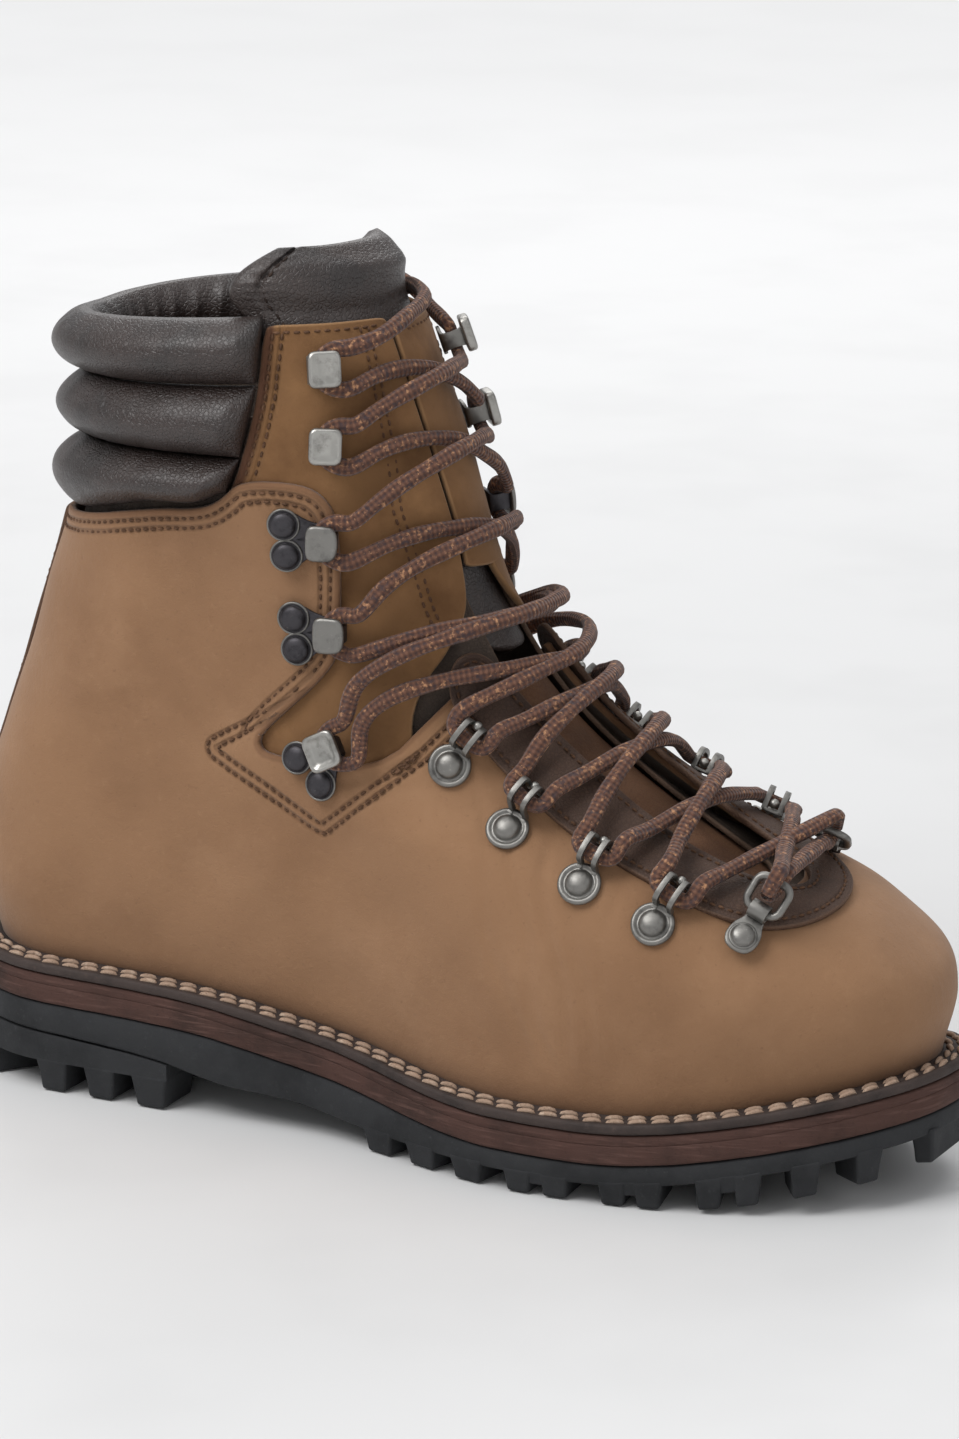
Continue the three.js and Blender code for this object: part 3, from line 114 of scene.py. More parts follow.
# The last that the upper is drawn over: ten stations from the feather line to the tongue tip.
LAST = {
    "backX": [-141, -147, -145, -138, -131, -123, -115, -111, -112, -112],
    "backZ": [44, 62, 82, 102, 122, 145, 170, 196, 224, 247],
    "frontX": [145, 148, 142, 121, 85, 46, 21, 8, -9, -20],
    "frontZ": [37, 53, 66, 80, 94, 120, 152, 188, 228, 251],
    "frontY": [10, 10, 10, 9, 6, 3, 1, 0, 0, 0],
    "heelRound": [34, 38, 40, 42, 44, 44, 46, 50, 50, 50],
    "toeRound": [95, 92, 90, 92, 95, 80, 68, 60, 52, 48],
    "toeSquare": [2.1, 2.3, 2.4, 2.3, 2.1, 2.0, 2.0, 2.0, 2.0, 2.0],
    "outerHeel": [33, 37, 38, 38, 37, 37, 38, 41, 43, 43],
    "outerWaist": [33, 38, 40, 40, 39, 38, 40, 44, 46, 46],
    "outerBall": [49, 51, 50, 46, 40, 37, 38, 41, 43, 43],
    "innerHeel": [33, 37, 38, 38, 37, 37, 38, 41, 43, 43],
    "innerWaist": [28, 33, 36, 38, 39, 38, 40, 44, 46, 46],
    "innerBall": [43, 46, 46, 43, 39, 37, 38, 41, 43, 43],
}

# ---- The last as a surface -----------------------------------------------------------------------


def smooth_at(values, position):
    """A curve through evenly spaced values, read at a position counted in steps."""
    values = np.asarray(values, float)
    last = len(values) - 1
    at = np.clip(position, 0, last - 1e-9)
    i = np.floor(at).astype(int)
    f = at - i
    padded = np.concatenate([[2 * values[0] - values[1]], values, [2 * values[-1] - values[-2]]])
    p0, p1, p2, p3 = padded[i], padded[i + 1], padded[i + 2], padded[i + 3]
    return 0.5 * (2 * p1 + (p2 - p0) * f + (2 * p0 - 5 * p1 + 4 * p2 - p3) * f**2
                  + (3 * p1 - p0 - 3 * p2 + p3) * f**3)


def height_at(pairs, x):
    """A curve through (x, y) pairs that never overshoots them."""
    xs, ys = np.array(pairs, float).T
    slope = np.diff(ys) / np.diff(xs)
    inner = np.where(slope[:-1] * slope[1:] <= 0, 0, (slope[:-1] + slope[1:]) / 2)
    tangent = np.concatenate([slope[:1], inner, slope[-1:]])
    at = np.clip(x, xs[0], xs[-1])
    i = np.clip(np.searchsorted(xs, at) - 1, 0, len(xs) - 2)
    width = xs[i + 1] - xs[i]
    f = (at - xs[i]) / width
    return (ys[i] * (2 * f**3 - 3 * f**2 + 1) + tangent[i] * width * (f**3 - 2 * f**2 + f)
            + ys[i + 1] * (3 * f**2 - 2 * f**3) + tangent[i + 1] * width * (f**3 - f**2))


def curve(pairs):
    """The curve through (x, y) pairs as a function of x."""
    return lambda x: height_at(pairs, x)


welt_top = curve(WELT_TOP)
underside = curve(OUTSOLE_UNDERSIDE)
toe_ground = curve(TOE_GROUND)
throat_y = curve(THROAT_LINE)


def ease(f):
    return 3 * f**2 - 2 * f**3


def half_width(s, length, c, outer):
    heel = np.where(outer, s["outerHeel"], s["innerHeel"])
    waist = np.where(outer, s["outerWaist"], s["innerWaist"])
    ball = np.where(outer, s["outerBall"], s["innerBall"])
    fit = np.minimum(1, 0.99 * length / (s["heelRound"] + s["toeRound"]))
    heel_end = fit * s["heelRound"] / length
    toe_start = 1 - fit * s["toeRound"] / length
    span = toe_start - heel_end
    waist = (heel + ball) / 2 + (waist - (heel + ball) / 2) * np.clip(span / FULL_WAIST, 0, 1) ** 2
    q = (np.clip(c, heel_end, toe_start) - heel_end) / span
    side = np.where(q < 0.5, heel + (waist - heel) * ease(2 * q), waist + (ball - waist) * ease(2 * q - 1))
    behind = np.clip(1 - c / heel_end, 0, 1)
    ahead = np.clip((c - toe_start) / (1 - toe_start), 0, 1)
    return (side * (1 - behind**HEEL_SQUARE) ** (1 / HEEL_SQUARE)
            * (1 - ahead ** s["toeSquare"]) ** (1 / s["toeSquare"]))


def last_point(t, angle):
    """Point of the last at station t. The angle runs from the heel along the outer side to the front at pi."""
    t, angle = np.broadcast_arrays(np.asarray(t, float), np.asarray(angle, float))
    s = {name: smooth_at(values, t) for name, values in LAST.items()}
    outer = np.mod(angle, 2 * np.pi) < np.pi
    c = np.clip((1 - np.cos(angle)) / 2, 0, 1)
    length = np.hypot(s["frontX"] - s["backX"], s["frontZ"] - s["backZ"])
    x = s["backX"] + (s["frontX"] - s["backX"]) * c
    flat = s["backZ"] + (s["frontZ"] - s["backZ"]) * c
    y = s["frontY"] * c**1.5 + np.where(outer, -1, 1) * half_width(s, length, c, outer)
    first = (x - LAST["backX"][0]) / (LAST["frontX"][0] - LAST["backX"][0])
    flat_feather = LAST["backZ"][0] + (LAST["frontZ"][0] - LAST["backZ"][0]) * first
    drop = flat_feather - welt_top(x) - LAYER_GAP
    settle = np.clip(1 - t / SETTLE_STATIONS, 0, None) ** 2
    return np.stack([x, y, flat - drop * settle], -1)


def unit(v):
    return v / np.maximum(np.linalg.norm(v, axis=-1, keepdims=True), 1e-12)


def last_normal(t, angle, step=0.004):
    up = last_point(np.minimum(t + step, TONGUE_TIP), angle) - last_point(np.maximum(t - step, 0), angle)
    around = last_point(t, angle + step) - last_point(t, angle - step)
    return unit(np.cross(around, up))


def layer_point(t, angle, out):
    return last_point(t, angle) + last_normal(t, angle) * np.asarray(out, float)[..., None]


# ---- Finding a place on the last -----------------------------------------------------------------


def bisect(low, high, is_low):
    low, high = np.broadcast_arrays(np.asarray(low, float), np.asarray(high, float))
    low, high = low.copy(), high.copy()
    for _ in range(36):
        middle = (low + high) / 2
        below = is_low(middle)
        low = np.where(below, middle, low)
        high = np.where(below, high, middle)
    return (low + high) / 2


def angle_at_x(t, x, side):
    back, front = smooth_at(LAST["backX"], t), smooth_at(LAST["frontX"], t)
    angle = np.arccos(1 - 2 * np.clip((x - back) / (front - back), 0, 1))
    return np.where(np.asarray(side) < 0, angle, 2 * np.pi - angle)


def top_station(x):
    return bisect(1 + 0 * np.asarray(x, float), TONGUE_TIP, lambda t: smooth_at(LAST["frontX"], t) > x)


def on_side(x, z, side):
    """Places with a given x and z on one side of the boot, as (station, angle)."""
    x, z = np.asarray(x, float), np.asarray(z, float)
    t = bisect(0 * x, top_station(x), lambda m: last_point(m, angle_at_x(m, x, side))[..., 2] < z)
    return t, angle_at_x(t, x, side)


def on_instep(x, y):
    """Places with a given x and y on the instep or the toe."""
    x, y = np.asarray(x, float), np.asarray(y, float)
    ridge = top_station(x)
    side = np.where(y < smooth_at(LAST["frontY"], ridge), -1, 1)
    steps = np.linspace(0, 3.4, 69)
    tries = np.clip(ridge[..., None] - steps, 0, None)
    reach = side[..., None] * last_point(tries, angle_at_x(tries, x[..., None], side[..., None]))[..., 1]
    falling = np.diff(reach, axis=-1) <= 0
    widest = np.where(falling.any(-1), falling.argmax(-1), len(steps) - 1)
    low = np.take_along_axis(tries, widest[..., None], -1)[..., 0]
    t = bisect(low, ridge, lambda m: side * last_point(m, angle_at_x(m, x, side))[..., 1] > side * y)
    return t, angle_at_x(t, x, side)


def at_width(t, w):
    """Places at station t whose distance along the loop from the front is w, negative to the outer side."""
    t, w = np.broadcast_arrays(np.asarray(t, float), np.asarray(w, float))
    turn = np.linspace(0, np.pi, 241)
    angles = np.pi + np.sign(np.where(w == 0, 1, w))[..., None] * turn
    points = last_point(t[..., None], angles)
    lengths = np.linalg.norm(np.diff(points, axis=-2), axis=-1)
    run = np.concatenate([np.zeros(t.shape + (1,)), np.cumsum(lengths, -1)], -1)
    flat_run, flat_angle, flat_w = run.reshape(-1, 241), angles.reshape(-1, 241), np.abs(w).ravel()
    found = [np.interp(v, r, a) for v, r, a in zip(flat_w, flat_run, flat_angle)]
    return t, np.array(found).reshape(t.shape)


def feather_loop(out, count=360):
    """The feather line moved out by a distance, as x and y, from the heel along the outer side."""
    angle = 2 * np.pi * np.arange(count) / count
    ahead, behind = last_point(0, angle + 0.01), last_point(0, angle - 0.01)
    normal = unit(np.stack([ahead[:, 1] - behind[:, 1], behind[:, 0] - ahead[:, 0]], -1))
    here = last_point(0, angle)[:, :2]
    side = np.sign(normal[:, 0] * here[:, 0] + normal[:, 1] * here[:, 1] * 4)
    return here + (side * out)[:, None] * normal


# The shift from the boot's own axes to the row frame comes from the welt, which both describe.
welt_low, welt_high = (np.array(corner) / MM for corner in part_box("welt"))
edge = feather_loop(WELT_EDGE, 56)
SHIFT = (welt_low[:2] + welt_high[:2]) / 2 - (edge.min(0) + edge.max(0)) / 2
SHIFT = np.array([SHIFT[0], SHIFT[1], 0.0])


def place(points):
    return (np.asarray(points, float) + SHIFT) * MM


# ---- Meshes --------------------------------------------------------------------------------------


def make_object(name, points, faces, material, body=BODY, slot=None, attributes=(), flat=False):
    """A mesh piece from points in boot millimetres. attributes holds (name, one number per point)."""
    mesh = bpy.data.meshes.new(name)
    mesh.from_pydata(place(points).tolist(), [], [tuple(int(v) for v in face) for face in faces])
    mesh.update()
    if not flat:
        mesh.polygons.foreach_set("use_smooth", [True] * len(mesh.polygons))
    for label, values in attributes:
        layer = mesh.attributes.new(label, "FLOAT", "POINT")
        layer.data.foreach_set("value", np.asarray(values, float).tolist())
    mesh.materials.append(material)
    obj = bpy.data.objects.new(name, mesh)
    bpy.context.scene.collection.objects.link(obj)
    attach(obj, body)
    return obj


def bevelled(obj, width, segments=2, angle=32):
    """Rounds the sharp edges of a hard piece."""
    bevel = obj.modifiers.new("rounding", "BEVEL")
    bevel.width = width * MM
    bevel.segments = segments
    bevel.limit_method = "ANGLE"
    bevel.angle_limit = math.radians(angle)
    return obj


class Shape:
    """Points and faces gathered for one piece."""

    def __init__(self):
        self.points = []
        self.faces = []
        self.count = 0

    def add(self, points, faces):
        points = np.asarray(points, float).reshape(-1, 3)
        self.points.append(points)
        self.faces.extend([[v + self.count for v in face] for face in faces])
        self.count += len(points)

    def join(self, loop, other):
        """A strip of faces between two closed loops of points that are already there."""
        after = zip(np.roll(loop, -1), loop, other, np.roll(other, -1))
        self.faces.extend([list(quad) for quad in after])

    def all_points(self):
        return np.concatenate(self.points)


def grid_faces(rows, columns, wrap_rows=False, wrap_columns=False, start=0):
    """Faces of a grid of points numbered row by row."""
    faces = []
    for i in range(rows if wrap_rows else rows - 1):
        for j in range(columns if wrap_columns else columns - 1):
            a = start + i * columns + j
            b = start + i * columns + (j + 1) % columns
            c = start + ((i + 1) % rows) * columns + (j + 1) % columns
            d = start + ((i + 1) % rows) * columns + j
            faces.append((a, b, c, d))
    return faces


def capped_faces(rings, sides):
    """Faces of a tube of rings, with both ends closed."""
    last = (rings - 1) * sides
    return grid_faces(rings, sides, wrap_columns=True) + [tuple(reversed(range(sides))),
                                                          tuple(range(last, last + sides))]


def double_sheet(face, rear, outward):
    """A closed pad between two grids of points. outward: the first grid's own faces look out of the pad."""
    rows, columns = face.shape[:2]
    size = rows * columns
    grid = grid_faces(rows, columns)
    turned = [quad[::-1] for quad in grid]
    first, second = (grid, turned) if outward else (turned, grid)
    faces = first + [tuple(v + size for v in quad) for quad in second]
    border = ([(0, j) for j in range(columns)] + [(i, columns - 1) for i in range(1, rows)]
              + [(rows - 1, j) for j in range(columns - 2, -1, -1)] + [(i, 0) for i in range(rows - 2, 0, -1)])
    ids = [i * columns + j for i, j in border]
    for a, b in zip(ids, ids[1:] + ids[:1]):
        a, b = (b, a) if outward else (a, b)
        faces.append((a, b, b + size, a + size))
    return np.concatenate([face.reshape(-1, 3), rear.reshape(-1, 3)]), faces


def rounded(outline, rounds=3, closed=True):
    """Cuts the corners of an outline, so that each becomes an arc."""
    points = np.array(outline, float)
    for _ in range(rounds):
        after = np.roll(points, -1, 0) if closed else points[1:]
        here = points if closed else points[:-1]
        cut = np.stack([0.75 * here + 0.25 * after, 0.25 * here + 0.75 * after], 1).reshape(-1, 2)
        points = cut if closed else np.concatenate([points[:1], cut, points[-1:]])
    return points


def signed_distance(px, py, outline):
    """Distance to a closed outline, positive inside it."""
    best = np.full(px.shape, 1e9)
    inside = np.zeros(px.shape, bool)
    for (x0, y0), (x1, y1) in zip(outline, np.roll(outline, -1, 0)):
        dx, dy = x1 - x0, y1 - y0
        f = np.clip(((px - x0) * dx + (py - y0) * dy) / max(dx * dx + dy * dy, 1e-12), 0, 1)
        best = np.minimum(best, np.hypot(px - x0 - f * dx, py - y0 - f * dy))
        crosses = (y0 > py) != (y1 > py)
        if abs(dy) > 1e-12:
            inside ^= crosses & (px < x0 + (py - y0) * dx / dy)
    return np.where(inside, best, -best)


class Patch:
    """A stretch of the last as a grid of places, on which a leather piece is cut to shape."""

    def __init__(self, stations, angles):
        self.t, self.angle = np.meshgrid(stations, angles, indexing="ij")
        self.point = last_point(self.t, self.angle)
        self.normal = last_normal(self.t, self.angle)
        self.x, self.y, self.z = np.moveaxis(self.point, -1, 0)
        self.wraps = bool(np.allclose(self.point[:, 0], self.point[:, -1]))
        self.along_t = np.gradient(self.point, axis=0)
        self.along_angle = np.gradient(self.point, axis=1)

    def true_distance(self, field, cap=40):
        """Turns a rough distance field into millimetres along the leather, near its zero line."""
        e = (self.along_t**2).sum(-1)
        f = (self.along_t * self.along_angle).sum(-1)
        g = (self.along_angle**2).sum(-1)
        du, dv = np.gradient(field, axis=0), np.gradient(field, axis=1)
        slope = (g * du**2 - 2 * f * du * dv + e * dv**2) / np.maximum(e * g - f**2, 1e-9)
        return np.clip(field / np.sqrt(np.maximum(slope, 0.04)), -cap, cap)

    def width(self):
        """Distance of every place along its loop from the front, negative on the outer side."""
        steps = np.linalg.norm(np.diff(self.point, axis=1), axis=-1)
        run = np.concatenate([np.zeros((len(self.point), 1)), np.cumsum(steps, 1)], 1)
        front = np.array([np.interp(np.pi, a, r) for a, r in zip(self.angle, run)])
        return run - front[:, None]


def soft_min(fields, radius=1.2):
    """The smallest of several distance fields, with rounded corners where two of them meet."""
    stack = np.stack(fields)
    low = stack.min(0)
    return low - radius * np.log(np.exp(-(stack - low) / radius).sum(0)) * 0.5


def cut_cells(distance, level, wraps=False):
    """Cells of a grid where distance >= level, cut along that line: corners as (vertex, vertex, share)."""
    rows, columns = distance.shape
    number = np.arange(rows * columns).reshape(rows, columns)
    if wraps:
        number[:, -1] = number[:, 0]
    keep = distance >= level
    score = keep[:-1, :-1].astype(int) + keep[1:, :-1] + keep[:-1, 1:] + keep[1:, 1:]
    flat = distance.ravel()
    corners = {}
    faces = []

    def corner(a, b=None):
        key = (a, a) if b is None else (min(a, b), max(a, b))
        return corners.setdefault(key, len(corners))

    for i, j in zip(*np.nonzero(score)):
        cell = [number[i, j], number[i, j + 1], number[i + 1, j + 1], number[i + 1, j]]
        if score[i, j] == 4:
            faces.append([corner(v) for v in cell])
            continue
        face = []
        for a, b in zip(cell, cell[1:] + cell[:1]):
            if flat[a] >= level:
                face.append(corner(a))
            if (flat[a] >= level) != (flat[b] >= level):
                face.append(corner(a, b))
        faces.append(face)
    keys = np.array(list(corners))
    a, b = flat[keys[:, 0]], flat[keys[:, 1]]
    span = np.where(keys[:, 0] == keys[:, 1], 1, b - a)
    share = np.where(keys[:, 0] == keys[:, 1], 0, (level - a) / span)
    return keys, share, faces


def border_loops(faces):
    """The loops of edges that belong to one face only."""
    edges = {}
    for face in faces:
        for a, b in zip(face, face[1:] + face[:1]):
            edges[(a, b)] = True
    after = {}
    for a, b in edges:
        if (b, a) not in edges:
            after.setdefault(a, []).append(b)
    loops = []
    while after:
        start = next(iter(after))
        loop = [start]
        here = start
        while here in after:
            nexts = after[here]
            there = nexts.pop()
            if not nexts:
                del after[here]
            if there == start:
                break
            loop.append(there)
            here = there
        if len(loop) > 3:
            loops.append(loop)
    return loops


RIM_STEPS = 4


def leather_piece(name, patch, distance, outer, inner, material, rim=0.7, fields=(), **words):
    """A sheet of leather cut from a patch along distance = 0, with a rounded rim.

    outer and inner are the offsets of its faces, numbers or one per place. fields holds (name, values)
    that the material reads.
    """
    keys, share, faces = cut_cells(distance, rim, patch.wraps)

    def read(values):
        flat = np.asarray(values, float).reshape(distance.size, -1)
        mixed = flat[keys[:, 0]] + (flat[keys[:, 1]] - flat[keys[:, 0]]) * share[:, None]
        return mixed if mixed.shape[1] > 1 else mixed[:, 0]

    base, normal = read(patch.point), unit(read(patch.normal))
    top = read(np.broadcast_to(outer, distance.shape))
    low = read(np.broadcast_to(inner, distance.shape))
    edge_far = read(distance)
    extra = {label: read(values) for label, values in fields}
    shape = Shape()
    columns = {label: [values, values] for label, values in extra.items()}
    far = [edge_far, edge_far]
    shape.add(base + normal * top[:, None], faces)
    shape.add(base + normal * low[:, None], [face[::-1] for face in faces])
    count = len(base)
    for loop in border_loops(faces):
        ids = np.array(loop)
        along = unit(base[np.roll(ids, -1)] - base[np.roll(ids, 1)])
        out = unit(np.cross(along, normal[ids]))
        previous = ids
        for step in range(1, RIM_STEPS + 2):
            turn = min(step / RIM_STEPS, 1) * math.pi / 2
            sink = rim * (1 - math.cos(turn)) if step <= RIM_STEPS else None
            height = top[ids] - sink if sink is not None else low[ids]
            ring = base[ids] + out * rim * math.sin(turn) + normal[ids] * height[:, None]
            size = len(ids)
            fresh = np.arange(shape.count, shape.count + size)
            shape.add(ring, [])
            shape.join(previous, fresh)
            previous = fresh
            far.append(np.full(size, rim * (1 - math.sin(turn))))
            for label in extra:
                columns[label].append(extra[label][ids])
        shape.join(previous, ids + count)
    attributes = [("edge", np.concatenate(far))]
    attributes += [(label, np.concatenate(parts)) for label, parts in columns.items()]
    return make_object(name, shape.all_points(), shape.faces, material, attributes=attributes, **words)


# ---- Materials -----------------------------------------------------------------------------------


def colour(code):
    """A hex colour as the linear values that a shader takes."""
    parts = [int(code[k:k + 2], 16) / 255 for k in (0, 2, 4)]
    return tuple(p / 12.92 if p <= 0.04045 else ((p + 0.055) / 1.055) ** 2.4 for p in parts) + (1.0,)


class Finish:
    """A procedural material put together from noise layers in object coordinates."""

    def __init__(self, name, base, roughness, metallic=0.0, specular=0.5):
        self.material = bpy.data.materials.new(name)
        self.material.use_nodes = True
        self.nodes = self.material.node_tree.nodes
        self.links = self.material.node_tree.links
        self.shader = self.nodes["Principled BSDF"]
        self.socket("Metallic", metallic).socket("Specular IOR Level", specular)
        self.where = self.nodes.new("ShaderNodeTexCoord").outputs["Object"]
        self.colour = self.constant("ShaderNodeRGB", colour(base))
        self.rough = self.constant("ShaderNodeValue", roughness)
        self.height = None

    def constant(self, kind, content):
        node = self.nodes.new(kind)
        node.outputs[0].default_value = content
        return node.outputs[0]

    def math(self, operation, a, b=None, clamp=False):
        node = self.nodes.new("ShaderNodeMath")
        node.operation = operation
        node.use_clamp = clamp
        for socket, given in zip(node.inputs, (a, b)):
            if isinstance(given, (int, float)):
                socket.default_value = given
            elif given is not None:
                self.links.new(given, socket)
        return node.outputs[0]

    def stretched(self, scale):
        node = self.nodes.new("ShaderNodeMapping")
        node.inputs["Scale"].default_value = scale
        self.links.new(self.where, node.inputs["Vector"])
        return node.outputs["Vector"]

    def noise(self, size, detail=4.0, rough=0.55, stretch=(1, 1, 1)):
        """Noise from 0 to 1 with features about size millimetres wide."""
        node = self.nodes.new("ShaderNodeTexNoise")
        node.inputs["Scale"].default_value = 1 / (size * MM)
        node.inputs["Detail"].default_value = detail
        node.inputs["Roughness"].default_value = rough
        self.links.new(self.stretched(stretch), node.inputs["Vector"])
        return node.outputs["Fac"]

    def cells(self, size, feature="DISTANCE_TO_EDGE", stretch=(1, 1, 1)):
        node = self.nodes.new("ShaderNodeTexVoronoi")
        node.feature = feature
        node.inputs["Scale"].default_value = 1 / (size * MM)
        self.links.new(self.stretched(stretch), node.inputs["Vector"])
        return node.outputs["Distance"]

    def reading(self, label):
        node = self.nodes.new("ShaderNodeAttribute")
        node.attribute_name = label
        return node.outputs["Fac"]

    def band(self, source, low, high):
        """0 below low, 1 above high, smooth between."""
        node = self.nodes.new("ShaderNodeMapRange")
        node.interpolation_type = "SMOOTHSTEP"
        node.inputs["From Min"].default_value = low
        node.inputs["From Max"].default_value = high
        self.links.new(source, node.inputs["Value"])
        return node.outputs["Result"]

    def below(self, source, low, high):
        """1 below low, 0 above high, smooth between."""
        return self.math("SUBTRACT", 1.0, self.band(source, low, high))

    def groove(self, source, centre, width):
        """1 along the line where source equals centre, fading to 0 over width."""
        away = self.math("ABSOLUTE", self.math("SUBTRACT", source, centre))
        return self.below(away, width * 0.25, width)

    def tint(self, code, factor):
        """Mixes a colour in where factor is 1."""
        node = self.nodes.new("ShaderNodeMix")
        node.data_type = "RGBA"
        node.clamp_factor = True
        self.links.new(factor, node.inputs[0])
        self.links.new(self.colour, node.inputs[6])
        node.inputs[7].default_value = colour(code)
        self.colour = node.outputs[2]
        return self

    def blend(self, code, factor, share):
        """Mixes a colour in where factor is 1, by no more than share."""
        return self.tint(code, self.math("MULTIPLY", factor, share))

    def patches(self, code, noise, limits, share=None):
        """Mixes a colour in where a noise of (size, detail, roughness) passes the two limits."""
        spread = self.band(self.noise(*noise), *limits)
        return self.tint(code, spread) if share is None else self.blend(code, spread, share)

    def shine(self, factor, change):
        """Adds change to the roughness where factor is 1."""
        self.rough = self.math("ADD", self.rough, self.math("MULTIPLY", factor, change), clamp=True)
        return self

    def raise_by(self, source, amount):
        """Adds source times amount, in millimetres, to the relief."""
        part = self.math("MULTIPLY", source, amount * MM)
        self.height = part if self.height is None else self.math("ADD", self.height, part)
        return self

    def relief(self, *layers):
        """Adds noises to the relief, each given as (amount, size, detail, roughness)."""
        for amount, *noise in layers:
            self.raise_by(self.noise(*noise), amount)
        return self

    def sunk_rows(self, label, rows, depth, width=1.1):
        """Sinks the relief along the rows of a seam, whose distance field is label."""
        for row in rows:
            self.raise_by(self.groove(self.reading(label), row, width), -depth)
        return self

    def socket(self, name, number):
        self.shader.inputs[name].default_value = number
        return self

    def done(self):
        self.links.new(self.colour, self.shader.inputs["Base Color"])
        self.links.new(self.rough, self.shader.inputs["Roughness"])
        if self.height is not None:
            bump = self.nodes.new("ShaderNodeBump")
            bump.inputs["Distance"].default_value = 1.0
            bump.inputs["Strength"].default_value = 1.0
            self.links.new(self.height, bump.inputs["Height"])
            self.links.new(bump.outputs["Normal"], self.shader.inputs["Normal"])
        return self.material


def nubuck_finish():
    f = Finish("nubuck", "8F6C4F", 0.84, specular=0.25)
    f.patches("7A593F", (46, 4, 0.5), (0.4, 0.75), 0.6)
    f.patches("9C785A", (30, 5), (0.48, 0.78), 0.6)
    f.patches("A58162", (3.4, 6, 0.7), (0.55, 0.8), 0.25)
    f.patches("5E4331", (1.6, 5, 0.7), (0.58, 0.8), 0.42)
    f.blend("6A4A35", f.groove(f.reading("edge"), 0.6, 1.3), 0.5)
    # Darker towards the welt, read from the low field: painted shade on the lower upper.
    f.blend("543C2D", f.reading("low"), 0.6)
    f.relief((0.10, 0.5, 3, 0.7), (0.22, 2.6, 5, 0.65), (0.35, 11))
    f.raise_by(f.below(f.cells(0.9, "F1"), 0.0, 0.35), -0.03)
    for label, rows in (("seam", SEAM_PAIR), ("vee", VEE_ROWS)):
        f.sunk_rows(label, rows, 0.28)
        for row in rows:
            f.blend("654935", f.groove(f.reading(label), row, 1.2), 0.45)
    f.shine(f.noise(6), 0.12)
    return f.socket("Sheen Weight", 0.12).socket("Sheen Roughness", 0.5).done()


def flap_finish():
    f = Finish("shaft_leather", "7F5C3B", 0.8, specular=0.3)
    f.patches("664629", (30, 5, 0.6), (0.44, 0.72))
    f.patches("8F6A45", (14, 6, 0.65), (0.52, 0.78), 0.6)
    f.patches("57392A", (1.5, 5, 0.7), (0.57, 0.8), 0.4)
    f.tint("8E6C4A", f.below(f.reading("edge"), 0.2, 0.8))
    f.blend("4A2C22", f.groove(f.reading("seam"), 1.4, 2.4), 0.75)
    f.relief((0.10, 0.5, 3, 0.7), (0.22, 2.4, 5, 0.65), (0.3, 9))
    f.sunk_rows("seam", SEAM_PAIR, 0.26)
    f.shine(f.noise(5), 0.14)
    return f.socket("Sheen Weight", 0.1).done()


def trim_finish(name="trim_leather", base="4E3A2F", dark="35261F", light="6A5040", rough=0.62):
    f = Finish(name, base, rough, specular=0.4)
    f.patches(dark, (16, 5, 0.6), (0.42, 0.72))
    f.patches(light, (4, 6, 0.68), (0.54, 0.8), 0.55)
    grain = f.cells(1.1)
    f.raise_by(f.band(grain, 0.0, 0.22), 0.09).relief((0.10, 0.8, 4, 0.6), (0.25, 7))
    f.blend(dark, f.below(grain, 0.0, 0.12), 0.4)
    f.blend("8A6A52", f.below(f.reading("edge"), 0.1, 0.7), 0.25)
    f.sunk_rows("seam", (FACING_ROW,), 0.22, 1.0)
    return f.shine(f.noise(3.5), 0.18).done()


def collar_finish(name, base="302420", dark="1D1512", light="43352F"):
    f = Finish(name, base, 0.36, specular=0.6)
    f.socket("Coat Weight", 0.22).socket("Coat Roughness", 0.34)
    f.patches(dark, (18, 5, 0.6), (0.42, 0.7))
    f.patches(light, (5, 6, 0.7), (0.55, 0.8), 0.5)
    grain = f.cells(1.25)
    f.raise_by(f.band(grain, 0.0, 0.2), 0.13).relief((0.12, 0.9, 4, 0.6), (0.35, 6, 5))
    f.blend(dark, f.below(grain, 0.0, 0.1), 0.5)
    return f.shine(f.noise(3), 0.2).done()


def rubber_finish():
    f = Finish("sole_rubber", "2A2B2D", 0.7, specular=0.4)
    f.patches("1C1D1F", (26, 5, 0.6), (0.42, 0.7))
    f.patches("47484A", (2.8, 6, 0.75), (0.56, 0.8), 0.5)
    f.patches("5B5853", (1.1, 3, 0.7), (0.64, 0.8), 0.35)
    f.relief((0.12, 0.6, 4, 0.7), (0.2, 3.5, 5, 0.6), (0.25, 14, 3))
    return f.shine(f.noise(5), 0.2).done()


def midsole_finish():
    f = Finish("midsole_rubber", "4A322B", 0.7, specular=0.35)
    f.patches("36241E", (20, 5, 0.6), (0.42, 0.7))
    streaks = f.noise(1.6, 5, 0.6, stretch=(0.12, 0.12, 1.6))
    f.blend("6B4F47", f.band(streaks, 0.5, 0.75), 0.55)
    f.patches("2B1D1A", (0.9, 3), (0.6, 0.75), 0.5)
    f.raise_by(streaks, 0.3).relief((0.12, 0.7, 4, 0.7), (0.25, 9, 3))
    return f.shine(f.noise(4), 0.2).done()


def welt_finish():
    f = Finish("welt_leather", "3D322E", 0.6, specular=0.4)
    f.patches("29211E", (14, 5, 0.6), (0.42, 0.7))
    f.patches("5C4B44", (2.2, 6, 0.72), (0.55, 0.8), 0.55)
    f.relief((0.14, 0.6, 4, 0.7), (0.22, 3, 5, 0.6))
    return f.shine(f.noise(4), 0.2).done()


def thread_finish(name, base, light, dark):
    f = Finish(name, base, 0.82, specular=0.25)
    f.patches(light, (2.4,), (0.5, 0.7), 0.7)
    f.patches(dark, (0.7, 4, 0.7), (0.54, 0.72), 0.8)
    return f.relief((0.15, 0.35, 3, 0.6)).done()


